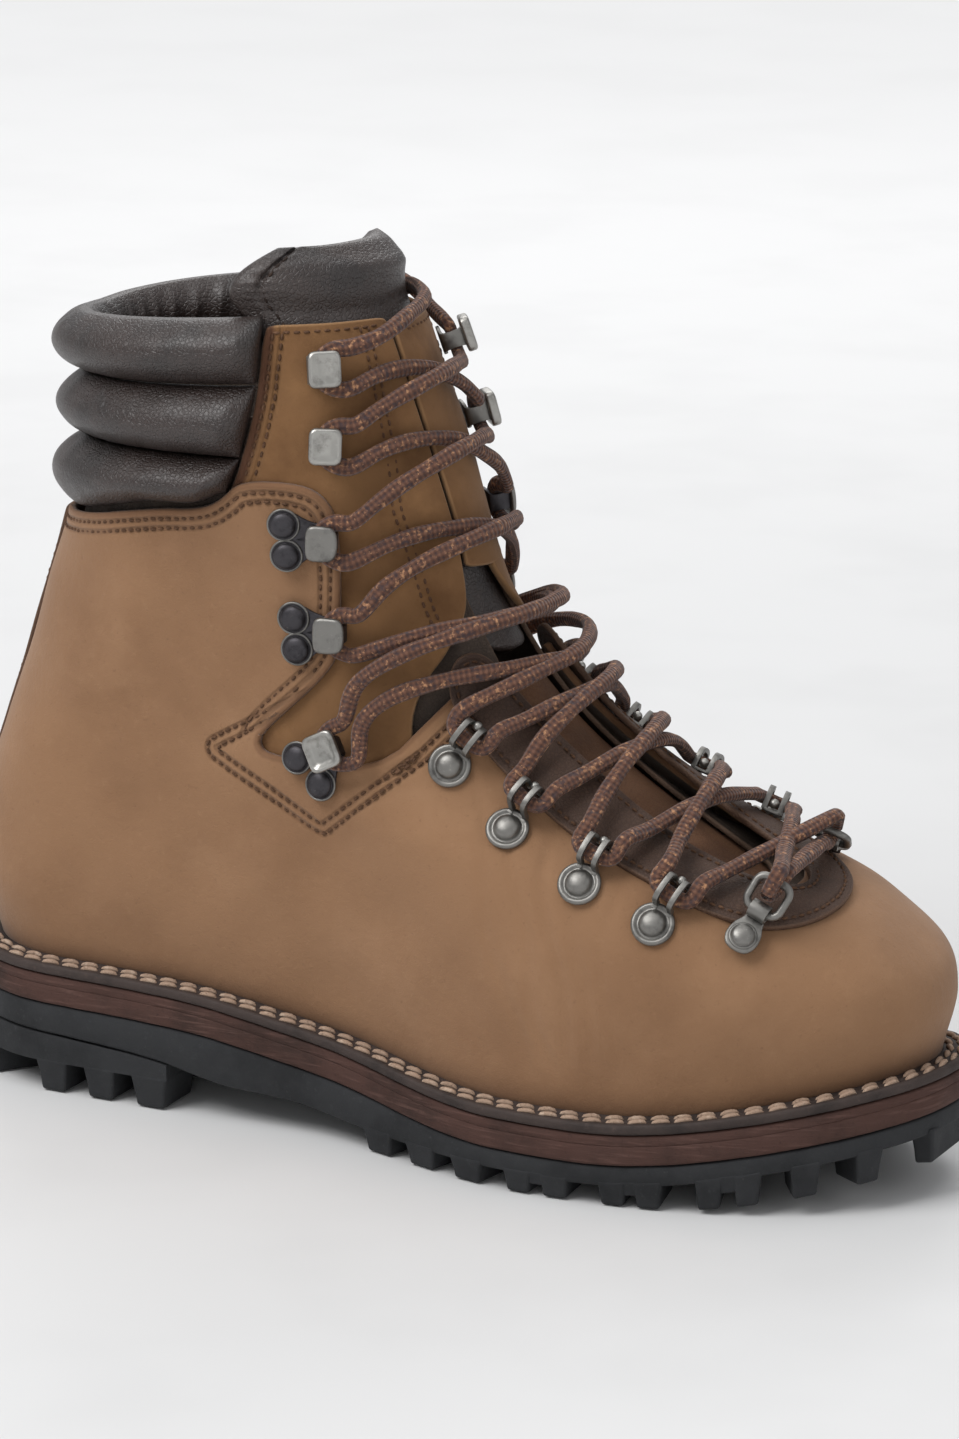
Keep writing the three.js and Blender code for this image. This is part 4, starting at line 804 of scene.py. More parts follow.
def lace_finish():
    """The braid reads the place along the cord and round it."""
    f = Finish("lace_cord", "5F4338", 0.88, specular=0.15)
    along = f.math("MULTIPLY", f.reading("along"), 2.1)
    waves = [f.math("SINE", f.math("ADD", along, f.math("MULTIPLY", f.reading("around"), turn)))
             for turn in (4, -4)]
    braid = f.math("MULTIPLY", *waves)
    # Lighter on the crests of the braid: painted highlight.
    f.blend("7D5A49", f.band(braid, 0.05, 0.8), 0.6)
    # Darker in the troughs between the strands: painted shade.
    f.blend("3F3232", f.band(f.math("MULTIPLY", braid, -1.0), 0.1, 0.9), 0.75)
    f.patches("B98A66", (1.5, 4, 0.6), (0.55, 0.68), 0.8)
    f.patches("3F363A", (2.1, 4, 0.6), (0.53, 0.68), 0.8)
    f.raise_by(braid, 0.22).relief((0.16, 0.4, 3, 0.7))
    return f.socket("Sheen Weight", 0.15).done()


def metal_finish(name, base, dark, rough, light="D8D6D0"):
    f = Finish(name, base, rough, metallic=0.92, specular=0.5)
    f.patches(dark, (5, 5, 0.65), (0.48, 0.75), 0.75)
    f.patches(light, (1.6, 5, 0.7), (0.58, 0.78), 0.45)
    scratch = f.noise(0.7, 3, 0.6, stretch=(0.15, 1, 0.4))
    f.raise_by(scratch, 0.025).relief((0.06, 2.5))
    return f.shine(f.noise(2.2, 5, 0.7), 0.28).done()


def hidden_finish(name, base, dark, size):
    f = Finish(name, base, 0.9, specular=0.2)
    f.patches(dark, (size, 5, 0.65), (0.45, 0.7))
    f.raise_by(f.cells(size * 0.4), 0.2).relief((0.15, size * 0.2, 4, 0.7))
    return f.done()


NUBUCK = nubuck_finish()
FLAP = flap_finish()
TRIM = trim_finish()
BACKSTAY = trim_finish("backstay_leather", "4A352A", "33241D", "634A3A", 0.7)
LINING_LEATHER = trim_finish("lining_leather", "463A31", "2F2621", "5E4F43", 0.7)
TONGUE_SIDE = trim_finish("bellows_leather", "6B4A33", "4C3324", "8A6446", 0.7)
COLLAR = collar_finish("collar_leather")
TONGUE_PADDING = collar_finish("tongue_leather", "352A26", "211917", "4A3D37")
RUBBER = rubber_finish()
MIDSOLE_RUBBER = midsole_finish()
WELT = welt_finish()
WELT_THREAD = thread_finish("welt_thread", "A58C79", "C9B39F", "5D473C")
SEAM_THREAD = thread_finish("seam_thread", "5A4130", "7A5A44", "33241B")
DARK_THREAD = thread_finish("dark_thread", "2B211C", "4A3A31", "17110E")
LACE = lace_finish()
PEWTER = metal_finish("pewter_metal", "82807C", "4F4D4B", 0.3, "B5B2AC")
GUNMETAL = metal_finish("gunmetal", "49474A", "262427", 0.36, "7E7A79")
BRIGHT = metal_finish("bright_steel", "A6A49F", "63605C", 0.24, "D2CFC9")
AGLET_METAL = metal_finish("aglet_metal", "8D8A84", "57544F", 0.32)
CORK = hidden_finish("cork", "9A7348", "6D4C2C", 3)
STEEL = metal_finish("shank_steel", "8F9094", "5F6064", 0.35)
BOARD = hidden_finish("fibre_board", "A88A66", "8A6C4A", 5)
FOOTBED_TOP = hidden_finish("footbed_leather", "8E6F50", "6B5039", 7)

# ---- Threads, cords and small solids -------------------------------------------------------------

STITCH_SIDES = 6
CORD_SIDES = 14
# A stitch from end to end: (share of its length, share of its thickness, dip in its heights).
STITCH_SECTIONS = [(0.0, 0.3, -0.6), (0.12, 0.8, -0.15), (0.35, 1.0, 0.0), (0.65, 1.0, 0.0), (0.88, 0.8, -0.15),
                   (1.0, 0.3, -0.6)]


def frames_along(points, normals):
    """Unit vectors across a line and out of the leather, for every point of the line."""
    along = unit(np.gradient(points, axis=0))
    across = unit(np.cross(normals, along))
    return across, unit(np.cross(along, across))


def add_stitch(shape, a, b, normal, width, height, sink):
    """One stitch from a to b, with round ends that dip into the leather."""
    along = unit(b - a)
    across = unit(np.cross(normal, along))
    up = unit(np.cross(along, across))
    length = np.linalg.norm(b - a)
    rings = []
    for share, size, dip in STITCH_SECTIONS:
        centre = a + along * length * share + up * (dip * height + sink)
        for k in range(STITCH_SIDES):
            turn = 2 * math.pi * k / STITCH_SIDES
            rings.append(centre + across * math.cos(turn) * width / 2 * size
                         + up * math.sin(turn) * height / 2 * size)
    shape.add(rings, capped_faces(len(STITCH_SECTIONS), STITCH_SIDES))


def resampled(points, normals, pitch, closed=False):
    if closed:
        points = np.concatenate([points, points[:1]])
        normals = np.concatenate([normals, normals[:1]])
    run = np.concatenate([[0], np.cumsum(np.linalg.norm(np.diff(points, axis=0), axis=1))])
    count = max(int(run[-1] / pitch), 1)
    at = np.linspace(0, run[-1], count + 1)
    pick = lambda values: np.stack([np.interp(at, run, values[:, k]) for k in range(3)], -1)
    return pick(points), unit(pick(normals))


def add_seam(shape, points, normals, pitch=2.9, fill=0.74, width=0.9, height=0.75, sink=0.08, slant=0.0,
             closed=False):
    """Stitches along a line on the leather."""
    if len(points) < 2:
        return
    points, normals = resampled(np.asarray(points), np.asarray(normals), pitch, closed)
    for a, b, normal in zip(points[:-1], points[1:], normals[:-1]):
        gap = (b - a) * (1 - fill) / 2
        jitter = rng.normal(0, 0.06, 3)
        lean = slant * np.cross(normal, b - a)
        add_stitch(shape, a + gap + jitter - lean, b - gap + jitter + lean, normal, width, height, sink)


def contour(patch, field, level, allowed, out):
    """Lines on a patch where field equals level and allowed is positive, as (points, normals)."""
    rows, columns = field.shape
    number = np.arange(rows * columns).reshape(rows, columns)
    flat, keep = field.ravel(), allowed.ravel() > 0
    above = field > level
    mixed = above[:-1, :-1].astype(int) + above[1:, :-1] + above[:-1, 1:] + above[1:, 1:]
    crossing = {}
    links = {}

    def cross(a, b):
        key = (min(a, b), max(a, b))
        if key not in crossing:
            crossing[key] = (level - flat[key[0]]) / (flat[key[1]] - flat[key[0]])
        return key

    for i, j in zip(*np.nonzero((mixed > 0) & (mixed < 4))):
        cell = [number[i, j], number[i, j + 1], number[i + 1, j + 1], number[i + 1, j]]
        if not all(keep[v] for v in cell):
            continue
        hits = [cross(a, b) for a, b in zip(cell,
                                            cell[1:] + cell[:1]) if (flat[a] > level) != (flat[b] > level)]
        for a, b in zip(hits[::2], hits[1::2]):
            links.setdefault(a, []).append(b)
            links.setdefault(b, []).append(a)
    surface, normals = patch.point.reshape(-1, 3), patch.normal.reshape(-1, 3)
    lines = []
    while links:
        ends = [key for key, joined in links.items() if len(joined) == 1]
        here = ends[0] if ends else next(iter(links))
        chain = [here]
        while links.get(here):
            there = links[here].pop()
            if here in links.get(there, []):
                links[there].remove(here)
            if not links[here]:
                del links[here]
            here = there
            chain.append(here)
        links.pop(here, None)
        if len(chain) < 5:
            continue
        keys = np.array(chain)
        share = np.array([crossing[key] for key in chain])[:, None]
        point = surface[keys[:, 0]] * (1 - share) + surface[keys[:, 1]] * share
        normal = unit(normals[keys[:, 0]] * (1 - share) + normals[keys[:, 1]] * share)
        lines.append((point + normal * out, normal))
    return lines


def stitches_on(name, patch, jobs, out, pitch=2.6, height=0.8):
    """Seams along contours. jobs holds (field, level, allowed)."""
    shape = Shape()
    for field, level, allowed in jobs:
        for points, normals in contour(patch, field, level, allowed, out):
            add_seam(shape, points, normals, pitch, width=0.8, height=height)
    make_object(name, shape.all_points(), shape.faces, SEAM_THREAD, slot="trim_leather")


def pulled_down(top, field, rows, depth=0.22, width=0.8):
    """The leather sinks beside the rows of a seam."""
    for row in rows:
        top = top - depth * np.exp(-((field - row) / width) ** 2)
    return top


def swept(points, normals, sections):
    """A tube along points. sections(i) gives (half width, half height, power) of each ring."""
    across, up = frames_along(points, normals)
    turn = 2 * np.pi * np.arange(CORD_SIDES) / CORD_SIDES
    rings = []
    for i, point in enumerate(points):
        a, b, power = sections(i)
        cx = np.sign(np.cos(turn)) * np.abs(np.cos(turn)) ** power * a
        cy = np.sign(np.sin(turn)) * np.abs(np.sin(turn)) ** power * b
        rings.append(point + across[i] * cx[:, None] + up[i] * cy[:, None])
    return np.concatenate(rings), capped_faces(len(points), CORD_SIDES), np.tile(turn, len(points))


def lathe(profile, sides=40):
    """A solid of revolution about z from (radius, height) pairs, listed from the bottom up."""
    turn = 2 * np.pi * np.arange(sides) / sides
    points = [np.stack([r * np.cos(turn), r * np.sin(turn), np.full(sides, z)], -1) for r, z in profile]
    return np.concatenate(points), capped_faces(len(profile), sides)


def slab(outline, low, high):
    """A plate with an outline in x and y. Its low and high levels are numbers or functions of (x, y)."""
    outline = np.asarray(outline, float)
    if ((np.roll(outline, -1, 0) - outline)[:, 0] * (np.roll(outline, -1, 0) + outline)[:, 1]).sum() > 0:
        outline = outline[::-1]
    count = len(outline)
    at = lambda level: level(*outline.T) if callable(level) else np.full(count, float(level))
    points = np.concatenate([np.column_stack([outline, at(low)]), np.column_stack([outline, at(high)])])
    faces = [(k, (k + 1) % count, count + (k + 1) % count, count + k) for k in range(count)]
    faces.append(tuple(reversed(range(count))))
    faces.append(tuple(range(count, 2 * count)))
    return points, faces


def strap(line, width, thickness):
    """A bent flat strip: a line of (x, z) points given a thickness, and a width along y."""
    line = np.asarray(line, float)
    along = unit(np.gradient(line, axis=0))
    side = np.column_stack([-along[:, 1], along[:, 0]])
    half = np.broadcast_to(width, len(line)) / 2
    points = []
    for (x, z), (nx, nz), h in zip(line, side, half):
        t = thickness / 2
        points += [(x - nx * t, -h, z - nz * t), (x - nx * t, h, z - nz * t), (x + nx * t, h, z + nz * t),
                   (x + nx * t, -h, z + nz * t)]
    return np.array(points), capped_faces(len(line), 4)


def moved(points, frame):
    points = np.asarray(points, float).reshape(-1, 3)
    return points @ frame[:3, :3].T + frame[:3, 3]


# ---- The upper -----------------------------------------------------------------------------------

QUARTER_EDGE = rounded([(-160, 166), (-130, 166), (-104, 168), (-72, 175), (-56, 176.5), (-49, 180), (-43, 186),
                        (-25, 186.5), (-18, 182), (-15.5, 174), (-15.2, 142), (-18.5, 133.5), (-38, 115.5),
                        (-39.6, 111.5), (-36, 108.6), (-2, 108.8), (12, 125.5), (26, 142), (60, 200), (60, 300),
                        (-160, 300)], 2)
FACING_OUTER = [(11, 28), (26, 28.3), (46, 29), (70, 30.8), (88, 30.3), (103, 26.5), (113, 21), (120, 12),
                (122.5, 0)]
FACING_INNER = [(20, 18), (32, 15.6), (46, 13.8), (70, 13.4), (88, 12), (100, 11), (106, 8.5), (110, 4.5),
                (111.5, 0)]
FLAP_FOOT = 3.7
FLAP_GAP = 1.6
FLAP_FRONT = [(FLAP_FOOT, -98), (4.5, -74), (5.3, -44), (5.6, -31), (6, -17), (6.3, -13), (7, -12), (8, -10)]
FLAP_REAR = [(FLAP_FOOT, -50), (6, -50), (6.6, -48), (6.95, -43.5), (7.5, -38), (8, -36)]
FLEX_CREASES = ((57, 0.22, 0.85), (64, 0.16, 0.6), (49, 0.28, 0.7), (72, 0.1, 0.4), (40, 0.3, 0.45))
ANKLE_CREASES = ((104, 0.7), (97, 0.45), (113, 0.5))
VEE_SEAM = [(-16.6, 129.5), (-52.4, 108.9), (-18.6, 91.9), (9.5, 115.4), (17.8, 125.2)]


def mirrored_line(pairs):
    """An edge of the facing on both sides of the throat line, as a closed or open run of (x, offset)."""
    return [(x, -a) for x, a in pairs] + [(x, a) for x, a in pairs[-2::-1]]


facing_outline = rounded(mirrored_line(FACING_OUTER) + mirrored_line(FACING_INNER)[::-1], 3)
throat_hole = rounded([(0, -21), (60, -21), (92, -19.5), (104, -15), (109, -6), (109, 6), (104, 15), (92, 19.5),
                       (60, 21), (0, 21)], 3)

body = Patch(np.linspace(0, 7.34, 260), np.linspace(0, 2 * np.pi, 561))
on_instep_side = (body.x > 0) & (body.t > 0.8) & (np.abs(np.mod(body.angle, 2 * np.pi) - np.pi) < 2.2)
edge_quarter = body.true_distance(-signed_distance(body.x, body.z, QUARTER_EDGE))
past_throat = body.y - throat_y(body.x)
edge_throat = body.true_distance(-signed_distance(body.x, past_throat, throat_hole))
edge_throat = np.where(on_instep_side, edge_throat, 40.0)
shell_edge = soft_min([edge_quarter, edge_throat])

# The surface of worn leather is never even: broad swells, flex creases over the toe, a seated edge; the lower upper by
# the welt is also darkened with painted shade.
swell = (0.28 * np.sin(body.x / 9.3 + body.z / 15.1) * np.sin(body.z / 12.7 - body.y / 17)
         + 0.18 * np.sin(body.x / 5.1 - body.z / 6.3 + body.y / 9))
crease = np.zeros_like(swell)
for centre, lean, deep in FLEX_CREASES:
    away = body.x - centre - lean * (60 - body.z) - 1.6 * np.sin(body.z / 8 + centre)
    crease -= (deep * np.exp(-(away / 1.5) ** 2) * np.clip((np.abs(past_throat) - 30) / 8, 0, 1)
               * np.clip((body.z - 26) / 10, 0, 1))
ankle = np.zeros_like(swell)
for centre, deep in ANKLE_CREASES:
    away = body.z - centre - 0.25 * (body.x + 20) - 1.4 * np.sin(body.x / 7)
    ankle -= deep * np.exp(-(away / 1.7) ** 2) * np.clip(1 - np.abs(body.x + 2) / 26, 0, 1)
# How near a place is to the welt: the nubuck darkens there as painted shade.
painted_welt_shade = np.clip(1 - (body.z - welt_top(body.x)) / 9, 0, 1)
shell_top = (swell + crease + ankle) * np.clip(shell_edge / 5, 0, 1) * np.clip(body.t * 1.4, 0, 1)
seam_field = np.where(on_instep_side & (edge_throat < edge_quarter), 40.0, edge_quarter)
notch_side = signed_distance(body.x, body.z, np.array(VEE_SEAM + [(24, 150), (-16, 150)], float)) > -0.4
seam_field = np.where(notch_side, 40.0, seam_field)
vee_rough = -signed_distance(body.x, body.z, np.array(VEE_SEAM + [(26, 175), (-16.6, 175)], float))
vee = np.where((np.abs(body.x) < 70) & (body.z < 133), body.true_distance(vee_rough), 40.0)
shell_top = pulled_down(pulled_down(shell_top, seam_field, SEAM_PAIR), vee, VEE_ROWS)
shell_top = np.clip(shell_top, -1.2, 0.6)

upper = leather_piece("upper_nubuck", body, shell_edge, shell_top, -UPPER, NUBUCK, rim=0.8,
                      slot="nubuck_leather",
                      fields=[("seam", seam_field), ("low", painted_welt_shade**2), ("vee", vee)])
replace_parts(upper, "upper_shell")

clear = (shell_edge > 1.5).astype(float)
stitches_on("upper_seams", body, [(seam_field, row, clear) for row in SEAM_PAIR], -0.1)
vee_allowed = ((shell_edge > 2.0) & (np.abs(body.y) > 8)).astype(float)
stitches_on("vee_seams", body, [(vee, row, vee_allowed) for row in VEE_ROWS], -0.1)

# The facing: a band of dark leather round the throat, under the eyelets.
band = Patch(np.linspace(1.2, 6.6, 240), np.linspace(np.pi - 1.9, np.pi + 1.9, 300))
band_past = band.y - throat_y(band.x)
facing_edge = band.true_distance(signed_distance(band.x, band_past, facing_outline))
facing_edge = np.where(band.x > 4, facing_edge, -40.0)
puff = 0.35 * np.clip(facing_edge / 3, 0, 1) + 0.12 * np.sin(band.x / 4.1) * np.sin(band_past / 3.7 + band.x / 9)
puff = pulled_down(puff, facing_edge, (FACING_ROW,), 0.3, 0.7)
facing = leather_piece("facing_leather", band, facing_edge, FACING_TOP - 0.35 + puff, FACING_BACK, TRIM,
                       rim=0.6,
                       slot="trim_leather", fields=[("seam", facing_edge)])
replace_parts(facing, "facing_strip")
facing_clear = (facing_edge > 1.2).astype(float)
stitches_on("facing_seams", band, [(facing_edge, FACING_ROW, facing_clear)], FACING_TOP - 0.25, 2.5)

# The backstay: a strip up the back seam.
back = Patch(np.linspace(0.25, 6.0, 150), np.linspace(-0.62, 0.62, 101))
half_strip = 10.8 - 1.2 * np.sin(np.clip(back.t / 6, 0, 1) * np.pi)
across_back = np.abs(back.y)
stay_edge = soft_min([half_strip - across_back, back.true_distance(back.z - welt_top(back.x) - 3.4),
                      back.true_distance(165.2 - back.z)])
stay = leather_piece("backstay_strip", back, stay_edge, 1.5 + 0.1 * np.sin(back.z / 5), 0.1, BACKSTAY, rim=0.6,
                     slot="nubuck_leather", fields=[("seam", stay_edge)])
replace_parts(stay, "backstay")
stitches_on("backstay_seams", back, [(stay_edge, STAY_ROW, (stay_edge > 1.0).astype(float))], 1.4, height=0.75)

# The flaps that close the shaft under the hooks.
STATION_HEIGHT = 23.0


def front_width(t, side):
    lacing = height_at(FLAP_FRONT, t)
    if side < 0:
        return lacing
    mirrored = -lacing * np.clip((6.3 - t) / 0.7, 0, 1)
    return np.where(t > 6.3, lacing + FLAP_GAP, np.maximum(lacing + FLAP_GAP, mirrored))


def shaft_flap(side, label):
    outer_angles, inner_angles = (0.55, np.pi + 0.12, 300), (np.pi - 0.7, 2 * np.pi - 0.55, 340)
    angles = np.linspace(*(outer_angles if side < 0 else inner_angles))
    sheet = Patch(np.linspace(FLAP_FOOT, COLLAR_TOP + 0.35, 250), angles)
    width = sheet.width()
    front = side * (width - front_width(sheet.t, side))
    rear = sheet.x - height_at(FLAP_REAR, sheet.t)
    top = STATION_HEIGHT * (COLLAR_TOP + (0.08 if side < 0 else 0.0) - sheet.t)
    edge_front = sheet.true_distance(front)
    edge_rear = np.where(side * sheet.y > 4, sheet.true_distance(rear), 40.0)
    edge_top = sheet.true_distance(top)
    edge_foot = sheet.true_distance(STATION_HEIGHT * (sheet.t - FLAP_FOOT - 0.02))
    edge = soft_min([edge_front, edge_rear, edge_top, edge_foot], 1.6)
    waves = (0.3 * np.sin(sheet.z / 10.3 + sheet.x / 13) * np.sin(width / 11)
             + 0.16 * np.sin(sheet.z / 4.7 - width / 6.1))
    face = INTERLAYER_TOP + waves * np.clip(edge / 5, 0, 1)
    face = pulled_down(face, edge_rear, SEAM_PAIR)
    covered = (sheet.t < 7.2) & (signed_distance(sheet.x, sheet.z, QUARTER_EDGE) < -1.0)
    face = np.where(covered, np.minimum(face, INTERLAYER_TOP - 0.1), face)
    flap = leather_piece(f"flap_{label}", sheet, edge, face, INTERLAYER_BACK, FLAP, rim=0.7,
                         slot="shaft_leather",
                         fields=[("seam", edge_rear)])
    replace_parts(flap, f"shaft_flap_{label}")
    seen = (edge > 1.4) & ~((sheet.t < 7.2) & (signed_distance(sheet.x, sheet.z, QUARTER_EDGE) < 0.8))
    seen = seen.astype(float)
    down = np.interp(sheet.t.ravel(), [5.4, 5.9, 6.24, 6.77, 7.34, 7.73, 8],
                     [29, 28, 26.5, 27.5, 22.5, 19.3, 18])
    inner_row = np.abs(width) - down.reshape(width.shape)
    jobs = [(edge_rear, row, seen) for row in SEAM_PAIR]
    jobs += [(edge_top, FLAP_TOP_ROW, seen), (inner_row, 0.0, seen), (inner_row, 2.5, seen)]
    stitches_on(f"flap_seams_{label}", sheet, jobs, INTERLAYER_TOP - 0.05)


for side, label in SIDES:
    shaft_flap(side, label)

# ---- Lining and the pieces inside ----------------------------------------------------------------

inside = Patch(np.linspace(0.1, 7.33, 170), np.linspace(0, 2 * np.pi, 361))
lining_hole = rounded([(14, -15), (60, -15), (92, -14), (100, -8), (100, 8), (92, 14), (60, 15), (14, 15)], 3)
inside_past = inside.y - throat_y(inside.x)
hole = np.where(inside.x > 4, inside.true_distance(-signed_distance(inside.x, inside_past, lining_hole)), 40.0)
slit = inside.true_distance(np.maximum(np.abs(inside.width() + 7.2) - 7.0,
                                       STATION_HEIGHT * (5.2 - inside.t)))
lining_edge = soft_min([hole, np.where(inside.t > 4.6, slit, 40.0)])
pleats = 0.35 * np.sin(np.mod(inside.angle,
                              2 * np.pi) * 31 + 3 * np.sin(inside.z / 9)) * np.clip(inside.t - 6.2, 0, 1)
lining = leather_piece("lining_leather", inside, lining_edge, LINING_TOP, LINING_BACK + 0.2 + pleats,
                       LINING_LEATHER,
                       rim=0.5, slot="lining_leather", fields=[("seam", lining_edge)])
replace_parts(lining, "lining")

for node, material in (("cork_filler", CORK), ("shank", STEEL), ("insole_board", BOARD), ("toe_puff", BOARD),
                       ("heel_counter", BOARD)):
    piece = frame["nodes"][node]
    piece.data.materials.clear()
    piece.data.materials.append(material)

# ---- The sole ------------------------------------------------------------------------------------

LOOP = 400


def sole_body(name, section, material, slot, node, wander=0.12, fill=True):
    """A layer of the sole. section lists (distance outside the feather line, height function) from the top
    inwards round the edge to the bottom."""
    rings = []
    turn = 2 * np.pi * np.arange(LOOP) / LOOP
    for out, height in section:
        ring = feather_loop(out, LOOP)
        rough = wander * (np.sin(turn * 23 + out) * np.sin(turn * 7.3) + 0.6 * np.sin(turn * 61))
        ring = ring * (1 + rough[:, None] / 140)
        rings.append(np.column_stack([ring, height(ring[:, 0]) + rough * 0.5]))
    faces = grid_faces(len(section), LOOP, wrap_rows=not fill, wrap_columns=True)
    faces = [face[::-1] for face in faces]
    if fill:
        last = (len(section) - 1) * LOOP
        for k in range(LOOP // 2):
            rung = [k, k + 1, LOOP - k - 1, (LOOP - k) % LOOP]
            rung = [v for i, v in enumerate(rung) if v not in rung[:i]]
            faces.append(tuple(rung))
            faces.append(tuple(v + last for v in reversed(rung)))
    points = np.concatenate(rings)
    piece = make_object(name, points, faces, material, slot=slot)
    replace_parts(piece, node)
    return piece


def level(base, change):
    return lambda x: base(x) + change


def levels(base, section):
    """A section of (distance out, height above base) as sole_body takes it."""
    return [(out, level(base, change)) for out, change in section]


midsole_top = level(level(welt_top, -WELT_THICKNESS), -LAYER_GAP)
outsole_top = level(level(midsole_top, -MIDSOLE), -LAYER_GAP)

WELT_SECTION = [(-6, 0), (-1, 0), (0.6, 0.1), (1.3, -0.05), (1.9, -0.35), (2.7, -0.35), (3.3, -0.02),
                (3.9, 0.05),
                (4.4, -0.05), (4.9, -0.35), (5.7, -0.35), (6.2, -0.05), (6.9, 0), (7.5, -0.18), (7.9, -0.6), (8, -1.2),
                (8, -2.1), (7.8, -2.7), (7.3, -3), (-6, -3)]
sole_body("welt_strip", levels(welt_top, WELT_SECTION), WELT, "welt_leather", "welt", fill=False)
MIDSOLE_SECTION = [(6.4, 0), (7.2, -0.15), (7.55, -0.6), (7.6, -2.6), (7.5, -2.8), (7.3, -2.95), (7.5, -3.1),
                   (7.6, -3.4),
                   (7.6, -7.6), (7.5, -8.2), (7.1, -8.5), (6.4, -8.6)]
sole_body("midsole_layer", levels(midsole_top, MIDSOLE_SECTION), MIDSOLE_RUBBER, "midsole_rubber", "midsole")
outsole_section = [(6.2, outsole_top), (6.9, level(outsole_top, -0.2)), (7.2, level(outsole_top, -0.7)),
                   (7.2, lambda x: (outsole_top(x) + underside(x)) / 2), (7.15, level(underside, 0.9)),
                   (6.8, level(underside, 0.25)), (6.0, underside)]
sole_body("outsole_rubber", outsole_section, RUBBER, "sole_rubber", "outsole")

FOOTBED_INSET = 7.7
board_top = level(welt_top, LAYER_GAP + 2.6)
FOOTBED_SECTION = [(-FOOTBED_INSET - 3, 4.5), (-FOOTBED_INSET - 0.8, 4.6), (-FOOTBED_INSET, 4.1),
                   (-FOOTBED_INSET, 0.9), (-FOOTBED_INSET - 0.8, 0.4), (-FOOTBED_INSET - 3, 0.4)]
sole_body("footbed_sheet", levels(board_top, FOOTBED_SECTION), FOOTBED_TOP, "footbed_leather", "footbed")


# A lug from the ground up: (share of its height, share of its length).
LUG_SECTION = ((0.0, 0.8), (0.45, 0.9), (1.0, 1.08))


def lug_points(x, y, length, width, turn, top, ground):
    """A lug: a block that narrows towards the ground, with its sides drawn in."""
    points = []
    for height, share in LUG_SECTION:
        for a, b in ((-1, -1), (1, -1), (1, 1), (-1, 1)):
            dx, dy = a * length / 2 * share, b * width / 2 * (0.5 + share / 2)
            px = x + dx * math.cos(turn) - dy * math.sin(turn)
            py = y + dx * math.sin(turn) + dy * math.cos(turn)
            low, high = ground(px), top(px)
            points.append((px, py, low + (high - low) * height))
    return points, capped_faces(3, 4)


def edge_lug(shape, x, side, length, width, top, ground):
    """A lug whose outer end stands at the edge of the sole."""
    angle = float(angle_at_x(0.0, x, side))
    here = last_point(0.0, angle)
    along = (last_point(0.0, angle + 0.02) - last_point(0.0, angle - 0.02)) * -side
    turn = math.atan2(along[1], along[0])
    inward = width / 2 - WELT_EDGE + 0.9
    px = here[0] + side * math.sin(turn) * inward
    py = here[1] - side * math.cos(turn) * inward
    shape.add(*lug_points(px, py, length, width, turn, top, ground))


def rubber_part(name, shape, rounding, segments, angle=32):
    part = make_object(name, shape.all_points(), shape.faces, RUBBER, slot="sole_rubber", flat=True)
    return bevelled(part, rounding, segments, angle)


DIAGONAL = 0.78
lug_top = level(underside, 1.6)
FORE_LUGS = [(2, 10.5), (17.5, 10.5), (33, 10.5), (48.2, 8.2), (58.6, 8.2), (74.6, 7.8), (84, 7.8), (99.4, 7.4),
             (108.6, 7.4), (121.5, 8), (134, 7.5)]
lugs = Shape()
for side in (-1, 1):
    for x, length in FORE_LUGS:
        edge_lug(lugs, x, side, length, 18, lug_top, toe_ground)
for block in ((12, 2, 12, 16, 0.7), (34, 3, 13, 18, DIAGONAL), (58, 3, 13, 18, DIAGONAL),
              (82, 4, 13, 18, DIAGONAL),
              (104, 5, 12, 16, DIAGONAL), (124, 8, 9, 12, DIAGONAL), (147.5, 9, 6.5, 26, 0)):
    lugs.add(*lug_points(*block, lug_top, toe_ground))
rubber_part("outsole_lugs", lugs, 0.9, 3)
# Between two halves of a double lug the rubber hangs lower than between the lugs.
webs = Shape()
web_foot = lambda x: 0.45 * toe_ground(x) + 0.55 * underside(x)
for side in (-1, 1):
    for x in (53.4, 79.3, 104):
        edge_lug(webs, x, side, 5, 16.5, lug_top, web_foot)
rubber_part("outsole_webs", webs, 0.5, 2)

heel_outline = [tuple(p) for p in feather_loop(WELT_EDGE - 0.8, LOOP)]
behind_breast = [(x, y) for x, y in heel_outline if x < HEEL_BREAST]
outer_part = [p for p in behind_breast if p[1] < 0]
inner_part = [p for p in behind_breast if p[1] >= 0]
breast_line = [(HEEL_BREAST, outer_part[-1][1]), (HEEL_BREAST - 1.6, outer_part[-1][1] * 0.4),
               (HEEL_BREAST - 1.6, inner_part[0][1] * 0.4), (HEEL_BREAST, inner_part[0][1])]
heel_points, heel_faces = slab(outer_part + breast_line + inner_part, HEEL_LUG_DEPTH,
                               lambda x, y: underside(x) - LAYER_GAP)
heel = Shape()
heel.add(heel_points, heel_faces)
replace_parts(rubber_part("heel_block_rubber", heel, 0.7, 3, 40), "heel_block")
heel_lugs = Shape()
flat_ground = lambda x: 0.0
heel_top = lambda x: HEEL_LUG_DEPTH + 0.8
for side in (-1, 1):
    for x, length in ((-130, 11.5), (-107, 9.6), (-91.5, 9.6), (-75.2, 11)):
        edge_lug(heel_lugs, x, side, length, 18, heel_top, flat_ground)
for block in ((-143, 0, 10, 22, 0), (-117, 0, 12, 16, DIAGONAL), (-96, 0, 12, 14, DIAGONAL),
              (-75.5, 0, 10, 22, 0)):
    heel_lugs.add(*lug_points(*block, heel_top, flat_ground))
rubber_part("heel_lugs", heel_lugs, 0.9, 3)

